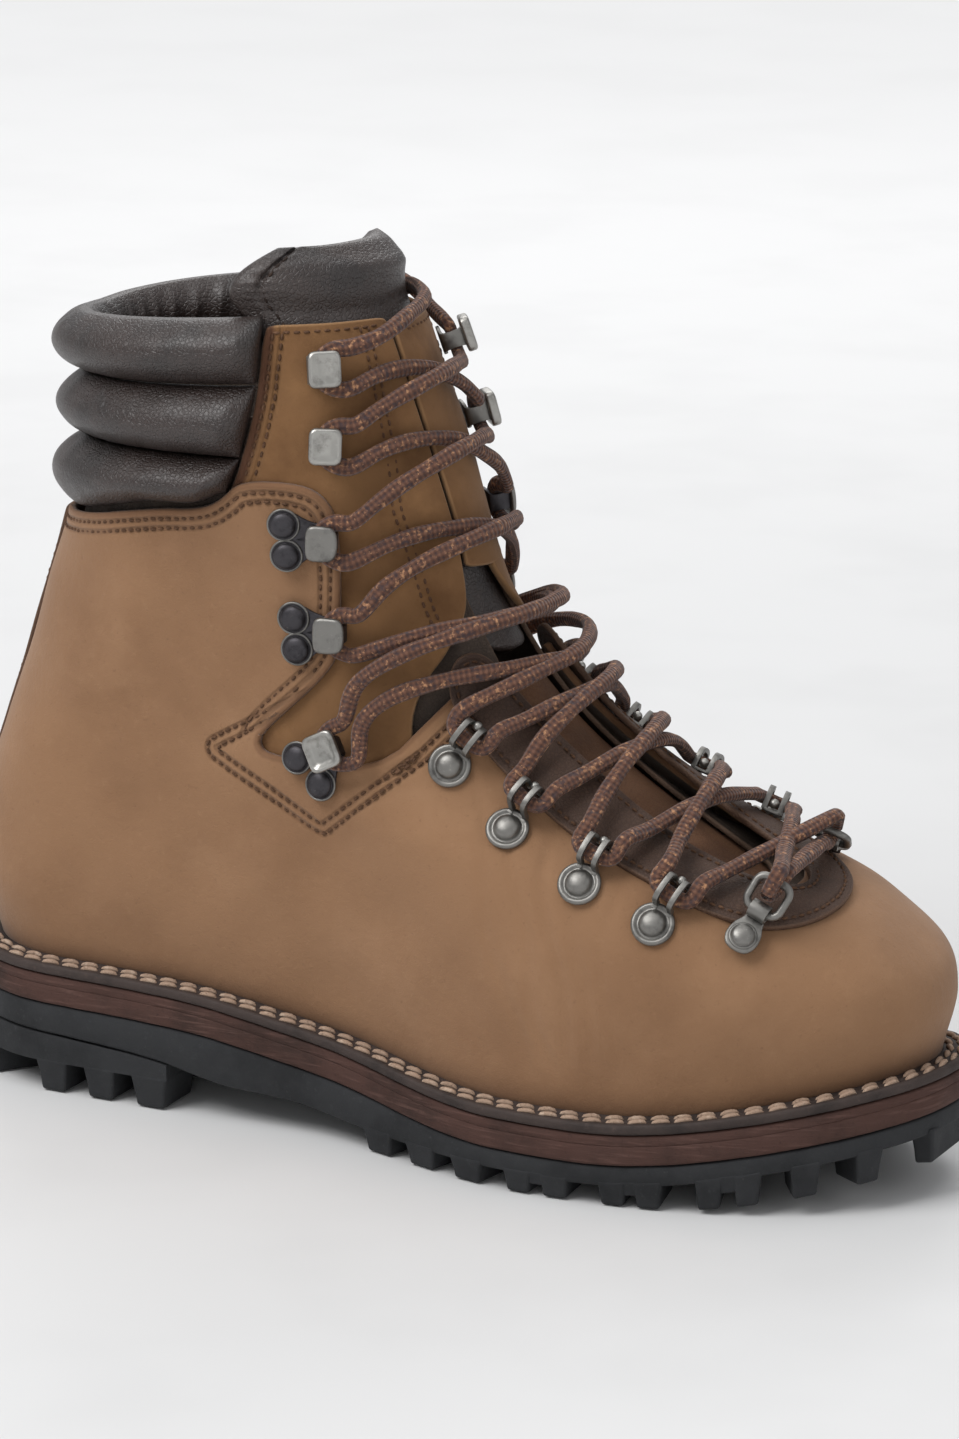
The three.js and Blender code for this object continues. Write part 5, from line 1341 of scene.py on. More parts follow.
for row, out in enumerate(SEAM_ROWS):
    ring = feather_loop(out, LOOP * 2)
    line = np.column_stack([ring, welt_top(ring[:, 0]) - 0.15])
    seam = Shape()
    add_seam(seam, line, np.tile([0.0, 0.0, 1.0], (len(line), 1)), pitch=6.4, fill=0.84, width=1.75,
             height=1.5, sink=0.3, slant=0.1, closed=True)
    stitch = make_object(f"welt_stitches_{row + 1}", seam.all_points(), seam.faces, WELT_THREAD,
                         slot="welt_thread")
    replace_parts(stitch, f"welt_stitch_{row + 1}")

# ---- Collar rolls and tongue ---------------------------------------------------------------------

ROLL_SEAMS = [(5.98, 6.6), (6.72, 7.02), (7.38, 7.6), (8, 8.18)]
QUARTER_TOP = [(-130, 166), (-104, 168), (-72, 175), (-56, 176.5), (-49, 180)]


def roll_seam(k, u):
    away = np.abs(2 * u - 1)
    low, high = ROLL_SEAMS[k]
    t = low + (high - low) * away
    if k:
        return t
    x = last_point(t, angle_at_x(t, height_at(FLAP_REAR, t), -1) * away)[..., 0]
    return on_side(x, height_at(QUARTER_TOP, x) + 1.5, -1)[0]


def collar_roll(k, label):
    columns, rows = 300, 26
    u = np.linspace(0, 1, columns)
    v = (1 - np.cos(np.pi * np.linspace(0, 1, rows))) / 2
    low, high = roll_seam(k, u) + 0.01, roll_seam(k + 1, u) - 0.01
    t = low + (high - low) * v[:, None]
    reach = angle_at_x(t, height_at(FLAP_REAR, t) - 0.6, -1)
    angle = (1 - 2 * u) * reach
    around = np.sin(np.pi * v)[:, None]
    length = np.abs(2 * u - 1)
    taper = np.clip((1 - length) / 0.05, 0, 1) ** 0.5
    plump = around**0.75 * (0.35 + 0.65 * taper)
    shift = rng.uniform(0, 6, 4)
    run = u * 210
    gathers = (np.sin(run / 1.9 + shift[0] + 1.4 * np.sin(run / 11 + shift[1])) * 0.45
               + np.sin(run / 3.7 + shift[2]) * 0.4)
    near_seam = np.clip(1 - around, 0, 1) ** 1.2 * around**0.4
    dents = 0.35 * np.sin(run / 13 + shift[3])[None, :] * np.cos(np.pi * v + 1)[:, None]
    outside = INTERLAYER_TOP + 0.5 + (ROLL_PROUD - INTERLAYER_TOP) * plump
    outside = outside + 0.8 * gathers * near_seam + dents * around
    if k == 2:
        pleat = np.abs(np.sin(run / 2.6 + shift[1] + 0.8 * np.sin(run / 9)))[None, :]
        inner = LINING_TOP - 0.2 - (1.6 + TOP_ROLL_DEPTH) * around**0.8 + 1.1 * pleat * around
    else:
        inner = np.full_like(outside, INTERLAYER_BACK + 0.9)
    face = layer_point(t, angle, outside)
    rear = layer_point(t, angle, inner)
    piece = make_object(f"collar_pad_{label}", *double_sheet(face, rear, outward=False), COLLAR,
                        slot="collar_leather")
    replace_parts(piece, f"collar_roll_{label}")


for k, label in enumerate(("bottom", "middle", "top")):
    collar_roll(k, label)


TONGUE_SEAM = 0.11
# The edge reading of a pad, which has no cut edge for its material to lighten.
FAR_INSIDE = 9.0


def tongue_pad():
    columns, rows = 110, 120
    u = np.linspace(0, 1, columns)[None, :]
    v = np.linspace(0, 1, rows)[:, None]
    t = TONGUE_FOOT + (TONGUE_TIP - TONGUE_FOOT) * v + 0 * u
    outer_edge = -26 - 24 * v**0.5 - 9 * np.clip((v - 0.5) / 0.3, 0, 1)
    inner_edge = 24 + 8 * v
    tip = 1 - 0.42 * np.clip((v - 0.78) / 0.22, 0, None) ** 2
    w = (outer_edge + (inner_edge - outer_edge) * u) * tip
    rim = np.clip(1 - (2 * u - 1) ** 4, 0, None) ** 0.5
    plump = rim * np.minimum(1, np.minimum(0.35 + 3 * v, (0.06 + 9 * np.clip(1 - v, 0, 1)) ** 0.5))
    free = np.clip((t - 8.2) / 0.35, 0, 1)
    seam_line = np.exp(-((u - TONGUE_SEAM) / 0.012) ** 2)
    puckers = 0.5 * np.sin(t * 52 + 2 * np.sin(t * 9)) * np.exp(-((u - TONGUE_SEAM) / 0.05) ** 2)
    wrinkles = 0.35 * np.sin(w / 7 + t * 5) * np.sin(t * 9 - w / 11) + 0.3 * np.sin(t * 17 + w / 13)
    front = TONGUE_TOP + plump * (1.6 + 3.6 * free) + (wrinkles + puckers) * rim * (0.2 + 0.8 * free)
    front = front - 2.0 * seam_line * free * rim
    depth = TONGUE_TOP - 2.0 - 5.2 * plump + 0.5 * wrinkles * rim
    place_t, angle = at_width(t, w)
    face, rear = layer_point(place_t, angle, front), layer_point(place_t, angle, depth)
    piece = make_object("tongue_pad", *double_sheet(face, rear, outward=True), TONGUE_PADDING, body="tongue",
                        slot="tongue_leather", attributes=[("edge", np.full(2 * t.size, FAR_INSIDE))])
    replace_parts(piece, "tongue_upper")
    column = int(round(TONGUE_SEAM * (columns - 1)))
    keep = slice(int(rows * 0.7), rows - 4)
    threads = Shape()
    normals = last_normal(place_t, angle)
    add_seam(threads, face[keep, column + 2], normals[keep, column + 2], pitch=2.8, width=0.7, height=0.7,
             sink=0.1)
    make_object("tongue_seams", threads.all_points(), threads.faces, DARK_THREAD, body="tongue",
                slot="tongue_leather")


tongue_pad()


def tongue_bellows():
    columns, rows = 90, 60
    u, v = np.linspace(0, 1, columns)[None, :], np.linspace(0, 1, rows)[:, None]
    x = 31 + 81 * u + 0 * v
    half = 22 * np.sqrt(1 - 0.75 * u**4)
    y = throat_y(x) + (2 * v - 1) * half
    t, angle = on_instep(x, y)
    folds = (0.5 * np.exp(-((x - 52 - 2 * np.sin(y / 5)) / 2.4) ** 2)
             + 0.4 * np.exp(-((x - 74 + y / 9) / 2) ** 2))
    face = layer_point(t, angle, TONGUE_TOP + 0.8 * np.sin(np.pi * v) * np.sin(np.pi * u) ** 0.5 + folds - 0.4)
    rear = layer_point(t, angle, TONGUE_TOP - 2.0 + 0 * x)
    piece = make_object("tongue_bellows", *double_sheet(face, rear, outward=True), TONGUE_SIDE,
                        slot="trim_leather", attributes=[("edge", np.full(2 * x.size, FAR_INSIDE))])
    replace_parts(piece, "tongue_lower")


tongue_bellows()

# ---- Lacing hardware -----------------------------------------------------------------------------

LACE_RADIUS = 2.1
HARDWARE_GAP = 0.9
GAP = 0.3
HOOK_NECK_X, HOOK_NECK_HALF, HOOK_NECK_HEIGHT = 2.8, 0.8, 5.0
RIVET_RADIUS = 3.7
EYELET_REACH = 12.6
ARM_SPACING = 4.6
ARM_WIDTH = 1.2
BALL_RADIUS = 1.4
RING_WIRE, RING_REACH, RING_HALF_WIDTH = 1.1, 9.2, 5.0
RING_TILT = math.radians(26)

HOOKS = [(5, "deep", -15, 113.6, None, 35, [(-11, 1.6), (-7.2, -7.7)]),
         (6, "riveted", -15.9, 146.3, 50, 8, [(-11.8, 3), (-10.8, -5.6)]),
         (7, "riveted", -18.5, 172.3, 34, 4, [(-11.8, 3), (-10.8, -5.6)]),
         (8, "top", -19, 197.6, 25, 0, []),
         (9, "top", -21.5, 217.6, 21, 0, [])]
EYELETS = [(1, (83.1, 35.2), (86, 27.3)), (2, (60.9, 37.6), (63, 28.4)), (3, (37.1, 35.3), (41.5, 27.4)),
           (4, (18.3, 32.9), (23.5, 26.7))]
CLIP_RIVET, CLIP_TOWARDS = (105.5, 28), (107.5, 18)


def fitting_frame(place, towards, turn=0.0):
    """Axes of a fitting: x towards the lacing, z out of the leather."""
    t, angle = float(place[0]), float(place[1])
    origin = last_point(t, angle)
    normal = last_normal(t, angle)
    ahead = towards - origin
    ahead = unit(ahead - normal * ahead.dot(normal))
    ahead = np.array(Matrix.Rotation(turn, 3, Vector(normal)) @ Vector(ahead))
    result = np.eye(4)
    result[:3, 0], result[:3, 1], result[:3, 2], result[:3, 3] = ahead, np.cross(normal, ahead), normal, origin
    return result


def hook_frame(x, z, far, turn, side):
    place = on_side(x, z, side)
    if side > 0 and far is not None:
        place = at_width(on_side(x, z, -1)[0], far)
    ahead = layer_point(float(place[0]), float(place[1]) - side * 0.12, 0.0)
    return fitting_frame(place, ahead, -side * math.radians(turn))


def from_throat(x, a):
    return on_instep(x, throat_y(x) + a)


def eyelet_layout(rivet, ball, side):
    def spot(f):
        return from_throat(ball[0] + (rivet[0] - ball[0]) * f, side * (ball[1] + (rivet[1] - ball[1]) * f))

    tip_place = spot(0.0)
    tip = last_point(*tip_place)
    low, high = 0.3, 2.5
    for _ in range(20):
        middle = (low + high) / 2
        near = np.linalg.norm(last_point(*spot(middle)) - tip) < EYELET_REACH
        low, high = (middle, high) if near else (low, middle)
    place = fitting_frame(spot(low), tip)
    local = np.linalg.inv(place) @ np.append(layer_point(*tip_place, FACING_TOP + 2 * GAP), 1)
    return place, local[:3]


def outlined(outline, inset):
    outline = np.asarray(outline, float)
    middle = (outline.min(0) + outline.max(0)) / 2
    half = (outline.max(0) - outline.min(0)) / 2
    return middle + (outline - middle) * (1 - inset / half)


def stack(outline, levels):
    """A solid from a counter-clockwise outline, drawn in by the inset of each (inset, height) level."""
    count = len(outline)
    rings = [np.column_stack([outlined(outline, inset), np.full(count, float(z))]) for inset, z in levels]
    return np.concatenate(rings), capped_faces(len(levels), count)


def soft_box(x0, x1, y0, y1, rounds=3):
    middle_x, middle_y = (x0 + x1) / 2, (y0 + y1) / 2
    return rounded([(x0, y0), (middle_x, y0), (x1, y0), (x1, middle_y), (x1, y1), (middle_x, y1), (x0, y1),
                    (x0, middle_y)], rounds)


def rivet_solid(x, y, base, radius, flange=1.1):
    profile = [(radius + flange, 0), (radius + flange, 0.35), (radius + flange - 0.3, 0.6),
               (radius + 0.1, 0.62),
               (radius, 0.5), (radius, 1.1), (radius * 0.93, 1.6), (radius * 0.72, 2.05), (radius * 0.4, 2.35),
               (0.05, 2.45)]
    points, faces = lathe(profile, 36)
    return points + (x, y, base), faces


def hardware(name, parts, place, material, body=BODY, slot="pewter_metal", bevel=0.0):
    shape = Shape()
    for points, faces in parts:
        shape.add(moved(points, place), faces)
    piece = make_object(name, shape.all_points(), shape.faces, material, body=body, slot=slot)
    if bevel:
        bevelled(piece, bevel, 3, 35)
    return piece


# The cap of each kind of hook: its outline, (inset, rise) from the rim up, its finish and its slot.
CAPS = {
    "top": (soft_box(-4.7, 4.3, -5.0, 5.0),
            [(0.1, 0.2), (0, 0.7), (0, 2.1), (0.25, 2.6), (0.8, 2.85), (1.3, 2.8), (2.2, 2.45), (3.4, 2.3)],
            BRIGHT, "bright_steel"),
    "riveted": (rounded([(-4.4, -4.9), (0, -5.1), (3.6, -4.6), (4.5, 0), (3.6, 4.6), (0, 5.1), (-4.4, 4.9),
                         (-4.7, 0)]),
                [(0.1, 0.2), (0, 0.6), (0.05, 1.1), (0.35, 1.5), (1.0, 1.75), (1.7, 1.6), (2.8, 1.35)],
                PEWTER, "pewter_metal"),
    "deep": (soft_box(-5.0, 4.6, -5.2, 5.2),
             [(0.1, 0.2), (0, 0.6), (0, 1.5), (0.25, 1.95), (0.7, 2.1), (1.15, 1.9), (1.6, 1.3), (2.6, 1.05),
              (3.8, 1.0)],
             BRIGHT, "bright_steel"),
}
HOOK_FOLD_WIDTHS = [7.6, 8.0, 7.0, 5.4, 4.9, 4.7, 4.9, 5.6, 7.6, 8.4]
HOOK_ARM_HALF = 3.3


def spun(angle):
    """A turn about z."""
    turn = np.eye(4)
    turn[:2, :2] = [[math.cos(angle), -math.sin(angle)], [math.sin(angle), math.cos(angle)]]
    return turn


def build_hook(row, kind, x, z, far, turn, rivets, side, label):
    base = (INTERLAYER_TOP if kind == "top" else 0.0) + HARDWARE_GAP
    top = base + 1.0
    cap_low = top + 2 * LACE_RADIUS + 4 * GAP
    place = hook_frame(x, z, far, turn, side)
    name = f"hook_{kind}_{label}_{row}"
    neck = HOOK_NECK_X
    mid = (base + cap_low) / 2
    fold = [(-4, base + 0.5), (-1, base + 0.5), (1.6, base + 0.5), (neck - 0.3, base + 0.75),
            (neck + 0.2, base + 1.5),
            (neck + 0.3, mid), (neck + 0.2, cap_low - 0.6), (neck - 0.3, cap_low + 0.3), (1.2, cap_low + 0.55),
            (-1, cap_low + 0.6)]
    parts = [strap(fold, HOOK_FOLD_WIDTHS, 1.0)]
    for rx, ry in rivets:
        reach, half = math.hypot(rx, ry), HOOK_ARM_HALF
        outline = rounded([(-1.5, -half), (reach * 0.5, -half * 0.86), (reach, -half - 1.2),
                           (reach + half + 0.9, 0), (reach, half + 1.2), (reach * 0.5, half * 0.86), (-1.5, half)])
        arm, arm_faces = stack(outline, [(0.15, base), (0, base + 0.2), (0, base + 0.75), (0.25, base + 1.0)])
        parts.append((moved(arm, spun(math.atan2(-side * ry, rx))), arm_faces))
    hardware(name + "_plate", parts, place, PEWTER if kind == "top" else GUNMETAL, bevel=0.18)
    if rivets:
        solids = [rivet_solid(rx, -side * ry, top - 0.1, RIVET_RADIUS - 0.15, 0.85) for rx, ry in rivets]
        hardware(name + "_rivets", solids, place, GUNMETAL)
        rims = []
        for rx, ry in rivets:
            ring = [(RIVET_RADIUS + 0.75, 0), (RIVET_RADIUS + 0.95, 0.25), (RIVET_RADIUS + 0.75, 0.62),
                    (RIVET_RADIUS + 0.35, 0.62), (RIVET_RADIUS + 0.3, 0.3)]
            points, faces = lathe(ring, 36)
            rims.append((points + (rx, -side * ry, top - 0.08), faces))
        hardware(name + "_rims", rims, place, PEWTER)
    low = cap_low + 0.15
    outline, profile, material, slot = CAPS[kind]
    rings = [(0.5, low)] + [(inset, low + rise) for inset, rise in profile]
    cap = hardware(name + "_cap", [stack(outline, rings)], place, material, slot=slot)
    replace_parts(cap, name)
    return place


def build_eyelet(row, layout, label):
    place, tip = layout
    base = HARDWARE_GAP
    lace_z = max(tip[2], GAP) + LACE_RADIUS + 1.2
    arch = lace_z + LACE_RADIUS + 2 * GAP
    flange = [(6.0, 0), (6.0, 0.5), (5.7, 0.95), (5.2, 1.1), (4.7, 0.95), (4.4, 0.7), (3.9, 0.7), (3.7, 0.95),
              (3.5, 1.9), (3.05, 2.6), (2.2, 3.1), (1.1, 3.35), (0.05, 3.4)]
    points, faces = lathe(flange, 44)
    disc = hardware(f"eyelet_disc_{label}_{row}", [(points + (0, 0, base), faces)], place, PEWTER)
    arms = []
    line = rounded([(3.9, base + 0.5), (5.3, base + 0.9), (5.2, arch - 1.6), (6.3, arch + 0.7),
                    (tip[0] - 1.6, arch + 0.8),
                    (tip[0] + 0.1, arch - 0.6), (tip[0] + 0.1, tip[2] + 0.4)], 3, closed=False)
    for y in (-ARM_SPACING / 2, ARM_SPACING / 2):
        arm_points, arm_faces = strap(line, 1.5, 1.25)
        arms.append((arm_points + (0, y, 0), arm_faces))
    foot = stack(soft_box(tip[0] - 0.7, tip[0] + 0.9, -ARM_SPACING / 2 - 0.4, ARM_SPACING / 2 + 0.4, 2),
                 [(0.15, tip[2]), (0, tip[2] + 0.2), (0, tip[2] + 0.7), (0.2, tip[2] + 0.95)])
    arms.append(foot)
    hardware(f"eyelet_arms_{label}_{row}", arms, place, PEWTER, bevel=0.3)
    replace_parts(disc, f"eyelet_{label}_{row}")
    r = BALL_RADIUS
    turns = np.linspace(-math.pi / 2 + 0.05, math.pi / 2 - 0.05, 17)
    profile = [(r * math.cos(a) * (0.985 if abs(a) < 0.06 else 1), r * math.sin(a)) for a in turns]
    points, faces = lathe(profile, 32)
    ball = hardware(f"ball_{label}_{row}",
                    [(points[:, [0, 2, 1]] * (1, 1, -1) + (tip[0] + 0.1, 0, tip[2] + 1 + GAP + r),
                                             faces)], place, BRIGHT, body=f"eyelet_ball_{label}_{row}",
                    slot="bright_steel")
    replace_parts(ball, f"eyelet_ball_{label}_{row}")


def clip_layout(side):
    rivet = from_throat(CLIP_RIVET[0], side * CLIP_RIVET[1])
    ahead = from_throat(CLIP_TOWARDS[0], side * CLIP_TOWARDS[1])
    return fitting_frame(rivet, last_point(*ahead)), np.array([7.4, 0, FACING_TOP + 2 * GAP + 2.6])


def ring_line(corner=2.6):
    line = []
    reach, half = RING_REACH, RING_HALF_WIDTH
    for x, sign, start in ((0, 1, math.pi), (reach, 1, math.pi / 2), (reach, -1, 0), (0, -1, -math.pi / 2)):
        cx = corner if x == 0 else reach - corner
        for turn in np.linspace(0, math.pi / 2, 9):
            line.append((cx + corner * math.cos(start - turn),
                         sign * (half - corner) + corner * math.sin(start - turn), 0))
    return np.array(line)


def closed_wire(line, radius, sides=14):
    along = unit(np.roll(line, -1, 0) - np.roll(line, 1, 0))
    across = np.column_stack([-along[:, 1], along[:, 0], np.zeros(len(line))])
    turn = 2 * np.pi * np.arange(sides) / sides
    up = np.array([0, 0, 1.0])
    rings = [p + radius * (np.cos(turn)[:, None] * a + np.sin(turn)[:, None] * up) for p,
             a in zip(line, across)]
    return np.concatenate(rings), [f[::-1] for f in grid_faces(len(line), sides, True, True)]


def build_clip(layout, label):
    place, barrel = layout
    low = FACING_TOP + 2 * GAP
    bore = RING_WIRE + GAP + 0.15
    outline = rounded([(-5.2, -2.6), (-2.6, -4.6), (1.4, -4.6), (4.4, -3.0), (6.1, -2.7), (6.1, 2.7),
                       (4.4, 3.0), (1.4, 4.6),
                       (-2.6, 4.6), (-5.2, 2.6)], 3)
    plate = stack(outline, [(0.2, low), (0, low + 0.25), (0, low + 0.9), (0.3, low + 1.2)])
    sweep = np.linspace(-0.72 * math.pi, 1.16 * math.pi, 26)
    curl = [(barrel[0] + (bore + 0.5) * math.cos(a), barrel[2] + (bore + 0.5) * math.sin(a)) for a in sweep]
    barrel_part = strap(curl, 5.4, 1.0)
    clip = hardware(f"toe_clip_plate_{label}", [plate, barrel_part], place, PEWTER, bevel=0.15)
    hardware(f"toe_clip_rivet_{label}", [rivet_solid(-0.6, 0, low + 1.0, RIVET_RADIUS - 0.5, 0.7)], place,
             PEWTER)
    stem, stem_faces = lathe([(2.6, HARDWARE_GAP), (2.6, low + 0.5)], 24)
    hardware(f"toe_clip_stem_{label}", [(stem + (-0.6, 0, 0), stem_faces)], place, GUNMETAL)
    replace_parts(clip, f"toe_clip_{label}")
    tilt = np.eye(4)
    tilt[:3, :3] = np.array(Matrix.Rotation(-RING_TILT, 3, "Y"))
    tilt[:3, 3] = barrel
    ring = hardware(f"ring_{label}", [closed_wire(ring_line(), RING_WIRE)], place @ tilt, PEWTER,
                    body=f"toe_ring_{label}")
    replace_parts(ring, f"toe_ring_{label}")


anchors = {}
for side, label in SIDES:
    clip = clip_layout(side)
    build_clip(clip, label)
    anchors[side, 0] = ("ring",) + clip
    for row, rivet, ball in EYELETS:
        layout = eyelet_layout(rivet, ball, side)
        build_eyelet(row, layout, label)
        anchors[side, row] = ("eyelet",) + layout
    for row, kind, x, z, far, turn, rivets in HOOKS:
        anchors[side, row] = ("hook", build_hook(row, kind, x, z, far, turn, rivets, side, label), kind)

# ---- The lace ------------------------------------------------------------------------------------

STRAND_STEPS = 6
INSTEP_REST = FACING_TOP + LACE_RADIUS + 4 * GAP
SHAFT_REST = INTERLAYER_TOP + LACE_RADIUS + 4 * GAP
FACING_END = 5.95
CROSSING_LIFT = 2 * LACE_RADIUS + 0.8
CRESTS = [5.45, 5.85, 6.55, 7.15, 7.6]
END_FROM_OUTER = [(7.9, -20, 4.6), (8.02, -8, 3), (8.12, 8, 0.5), (8.17, 22, -2.6), (8.15, 31, -4.6),
                  (7.98, 35.5, -9.1),
                  (7.6, 36.5, -9.4), (7.1, 37, -9.2), (6.7, 37.5, -9.2), (6.3, 38, -9.2)]
END_FROM_INNER = [(7.9, 31, 0.5), (8.06, 38, -0.6), (8.17, 42.5, -3.6), (8.0, 44.5, -9), (7.5, 45.5, -9.3),
                  (7.0, 46, -9.2), (6.5, 46.5, -9.2), (6.1, 47, -9.2)]


def nearest_place(point, start):
    """Nearest place of the last to a point, by walking downhill from a start place."""
    t, angle = start
    best = np.linalg.norm(last_point(t, angle) - point)
    step = 0.4
    while step > 0.004:
        tries = [(np.clip(t + dt * step, 0, TONGUE_TIP), angle + da * step * 0.4)
                 for dt, da in ((1, 0), (-1, 0), (0, 1), (0, -1))]
        away = np.linalg.norm(last_point(*np.array(tries).T) - point, axis=1)
        k = int(away.argmin())
        if away[k] < best - 1e-6:
            best, (t, angle) = away[k], tries[k]
        else:
            step *= 0.6
    return float(t), float(angle)


def width_of(t, angle):
    turns = np.pi + (angle - np.pi) * np.linspace(0, 1, 13)
    line = last_point(t, turns)
    return np.linalg.norm(np.diff(line, axis=0), axis=1).sum() * np.sign(angle - np.pi)


def turn_round(anchor, side):
    kind, place, detail = anchor
    if kind == "ring":
        cx, sx = math.cos(RING_TILT), math.sin(RING_TILT)
        off = RING_WIRE + 3 * GAP + LACE_RADIUS
        at = lambda a, b: (detail[0] + cx * a - sx * b, 0, detail[2] + sx * a + cx * b)
        hole = RING_REACH / 2
        points = [at(RING_REACH + 3, -off), at(RING_REACH, -off), at(hole + 0.6, -2.4), at(hole, 0),
                  at(hole + 0.6, 2.4),
                  at(RING_REACH, off), at(RING_REACH + 3, off)]
    elif kind == "hook":
        z = (INTERLAYER_TOP if detail == "top" else 0) + HARDWARE_GAP + 1 + LACE_RADIUS + 2 * GAP
        y = HOOK_NECK_HEIGHT / 2 + LACE_RADIUS + 3 * GAP
        rear = HOOK_NECK_X - HOOK_NECK_HALF - LACE_RADIUS - 3 * GAP
        points = [(7.5, -y, z), (3.4, -y, z), (rear + 0.6, -y * 0.62, z), (rear, 0, z),
                  (rear + 0.6, y * 0.62, z),
                  (3.4, y, z), (7.5, y, z)]
    else:
        lace_x = detail[0] - ARM_WIDTH - LACE_RADIUS - GAP - 1
        z = max(detail[2], GAP) + LACE_RADIUS + 1.2
        y = ARM_SPACING / 2 + ARM_WIDTH / 2 + LACE_RADIUS + GAP + 0.2
        points = [(detail[0] + 2.6, -y, z), (lace_x + 1.2, -y, z), (lace_x, -2, z), (lace_x, 2, z),
                  (lace_x + 1.2, y, z),
                  (detail[0] + 2.6, y, z)]
    return list(moved([(a, -side * b, c) for a, b, c in points], place))


def crossing_bump(f):
    return max(0.0, math.sin(math.pi * f)) ** 1.5


def instep_strand(start, end, lift):
    points = []
    place = nearest_place(start, (4, math.pi))
    for k in range(1, STRAND_STEPS):
        f = k / STRAND_STEPS
        point = start + (end - start) * f
        place = nearest_place(point, place)
        normal = last_normal(*place)
        height = (point - last_point(*place)).dot(normal)
        points.append(point + normal * max(0, INSTEP_REST + lift * crossing_bump(f) - height))
    return points


def shaft_strand(start, end, lift, crest):
    a, b = nearest_place(start, (6, math.pi)), nearest_place(end, (6, math.pi))
    wa, wb = width_of(*a), width_of(*b)
    middle = wa / (wa - wb)
    bend = (crest - a[0] - (b[0] - a[0]) * middle) / (4 * middle * (1 - middle))
    points = []
    for k in range(1, STRAND_STEPS + 1):
        f = k / (STRAND_STEPS + 1)
        t = a[0] + (b[0] - a[0]) * f + bend * 4 * f * (1 - f)
        rest = SHAFT_REST if t > FACING_END else INSTEP_REST
        tip = np.linalg.norm(start - last_point(*a)) if f < 0.5 else np.linalg.norm(end - last_point(*b))
        away = min(1, 3.5 * min(f, 1 - f))
        height = tip + (rest - tip) * ease(away) + lift * crossing_bump(f)
        place = at_width(t, wa + (wb - wa) * f)
        points.append(layer_point(float(place[0]), float(place[1]), height))
    return points


def climb(side, lifted):
    points, previous = [], None
    for row in range(10):
        turn = turn_round(anchors[side, row], side)
        lift = CROSSING_LIFT if (row + lifted) % 2 else 0
        if row > 4:
            points += shaft_strand(previous, turn[0], lift, CRESTS[row - 5])
        elif row > 0:
            points += instep_strand(previous, turn[0], lift)
        points += turn
        previous = turn[-1]
        side = -side
    return points


def end_route(places):
    return [layer_point(*(float(v) for v in at_width(t, w)), out) for t, w, out in places]


left, right = climb(-1, 0), climb(1, 1)
bar = instep_strand(left[0], right[0], 0)
left_half = end_route(END_FROM_INNER)[::-1] + left[:-2][::-1]
lace_path = np.array(left_half + bar + right + end_route(END_FROM_OUTER))

fine = 6
at = np.linspace(0, len(lace_path) - 1, (len(lace_path) - 1) * fine + 1)
route = np.stack([smooth_at(lace_path[:, k], at) for k in range(3)], -1)
run = np.concatenate([[0], np.cumsum(np.linalg.norm(np.diff(route, axis=0), axis=1))])
even = np.linspace(0, run[-1], int(run[-1] / 1.1))
route = np.stack([np.interp(even, run, route[:, k]) for k in range(3)], -1)
for _ in range(2):
    route[1:-1] = (route[:-2] + 2 * route[1:-1] + route[2:]) / 4
outward = []
spot = (7.0, math.pi + 1.0)
for point in route[::4]:
    spot = nearest_place(point, spot)
    outward.append(last_normal(*spot))
outward = np.array(outward)
steps = np.arange(len(route))
facing_out = unit(np.stack([np.interp(steps, steps[::4], outward[:, k]) for k in range(3)], -1))
swelling = 0.12 * np.sin(even / 3.1) + 0.08 * np.sin(even / 7.7 + 1)
points, faces, turn = swept(route, facing_out, lambda i: (2.25 + swelling[i], 1.8 + 0.5 * swelling[i], 0.9))
sides = len(points) // len(route)
cord = make_object("lace_cord", points, faces, LACE, slot="lace_cord",
                   attributes=[("along", np.repeat(even, sides)), ("around", turn)])
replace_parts(cord, "lace")

AGLET_LENGTH = 14.0
for number, (end, before) in enumerate(((lace_path[0], lace_path[1]), (lace_path[-1], lace_path[-2])), 1):
    along = unit(end - before)
    middle = end + along * (AGLET_LENGTH / 2 + GAP)
    spin = np.array(Vector((0, 0, 1)).rotation_difference(Vector(along)).to_matrix().to_4x4())
    spin[:3, 3] = middle
    half = AGLET_LENGTH / 2
    profile = [(1.1, -half), (1.42, -half + 0.3), (1.5, -half + 0.8), (1.5, -half + 2.6), (1.36, -half + 2.9),
               (1.5, -half + 3.2), (1.5, half - 0.9), (1.35, half - 0.3), (0.9, half)]
    points, faces = lathe(profile, 28)
    tip = hardware(f"aglet_tip_{number}", [(points, faces)], spin, AGLET_METAL, slot="aglet_metal")
    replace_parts(tip, f"aglet_{number}")

# ---- Studio --------------------------------------------------------------------------------------

AZIMUTH, ELEVATION = 28, 15.3
LOOK_AT = (0, 0, 120)
FLOOR_REACH = 14.0
FLOOR_DROP = 0.0004
floor_mesh = bpy.data.meshes.new("studio_floor")
corners = [(x * FLOOR_REACH, y * FLOOR_REACH, -FLOOR_DROP) for x, y in ((-1, -1), (1, -1), (1, 1), (-1, 1))]
floor_mesh.from_pydata(corners, [], [(0, 1, 2, 3)])
studio = Finish("studio_paper", "DCDCDC", 0.9, specular=0.1)
studio.tint("D8D8D8", studio.band(studio.noise(120, 3), 0.4, 0.7))
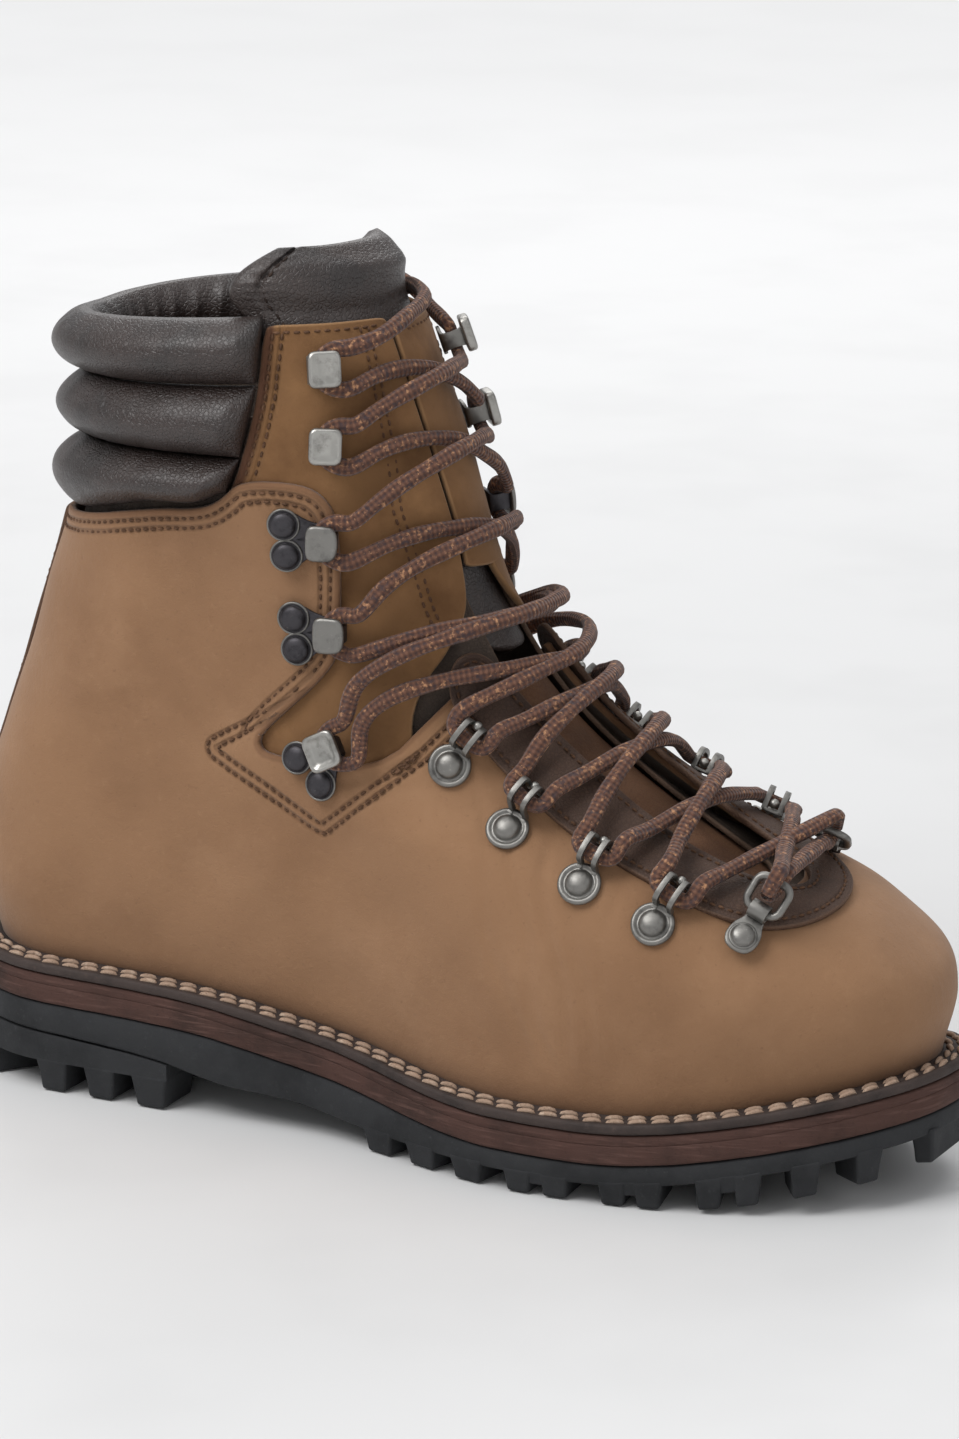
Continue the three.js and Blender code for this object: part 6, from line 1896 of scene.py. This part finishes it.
# The lamps stand close to the boot, so the paper further out gets a glow of its own.
from_boot = studio.nodes.new("ShaderNodeVectorMath")
from_boot.operation = "LENGTH"
studio.links.new(studio.where, from_boot.inputs[0])
glow = studio.math("MULTIPLY", studio.band(from_boot.outputs["Value"], 0.25, 2.6), 0.52)
studio.shader.inputs["Emission Color"].default_value = (1, 1, 1, 1)
studio.links.new(glow, studio.shader.inputs["Emission Strength"])
floor_mesh.materials.append(studio.done())
floor = bpy.data.objects.new("studio_floor", floor_mesh)
bpy.context.scene.collection.objects.link(floor)


def aim(obj, target, azimuth, elevation, distance):
    """Stands an object at a distance from a target, round from the outer side towards the toe, facing it."""
    a, e = math.radians(azimuth), math.radians(elevation)
    back = Vector((math.sin(a) * math.cos(e), -math.cos(a) * math.cos(e), math.sin(e)))
    obj.location = target + back * distance
    obj.rotation_euler = (-back).to_track_quat("-Z", "Y").to_euler()
    bpy.context.scene.collection.objects.link(obj)


def area_light(name, azimuth, elevation, distance, size, power):
    light = bpy.data.lights.new(name, "AREA")
    light.shape = "RECTANGLE"
    light.size, light.size_y = size
    light.energy = power
    lamp = bpy.data.objects.new(name, light)
    aim(lamp, Vector(LOOK_AT) * MM, azimuth, elevation, distance)


area_light("key", -28, 50, 1.7, (0.9, 0.9), 18)
area_light("fill", 80, 28, 1.8, (1.2, 1.0), 3)
area_light("front", 30, 12, 2.2, (1.2, 0.8), 2.5)
area_light("rim", 205, 40, 1.7, (1.0, 1.0), 9)
area_light("top", 20, 86, 1.6, (1.3, 1.3), 6)

world = bpy.data.worlds.new("studio")
world.use_nodes = True
world.node_tree.nodes["Background"].inputs["Color"].default_value = (0.93, 0.94, 0.96, 1)
world.node_tree.nodes["Background"].inputs["Strength"].default_value = 0.46
bpy.context.scene.world = world
bpy.context.scene.view_settings.view_transform = "Standard"
bpy.context.scene.view_settings.look = "None"

DISTANCE, LENS = 1.5, 135.09
IMAGE_HEIGHT = 1439
SHIFT_X, SHIFT_Y = 33 / IMAGE_HEIGHT, -18 / IMAGE_HEIGHT
camera = bpy.data.cameras.new("photo_camera")
camera.sensor_fit = "VERTICAL"
camera.sensor_height = 36
camera.lens = LENS
camera.shift_x, camera.shift_y = SHIFT_X, SHIFT_Y
camera.clip_start, camera.clip_end = 0.05, 30
eye = bpy.data.objects.new("photo_camera", camera)
aim(eye, Vector(place(LOOK_AT).tolist()), AZIMUTH, ELEVATION, DISTANCE)
bpy.context.scene.camera = eye
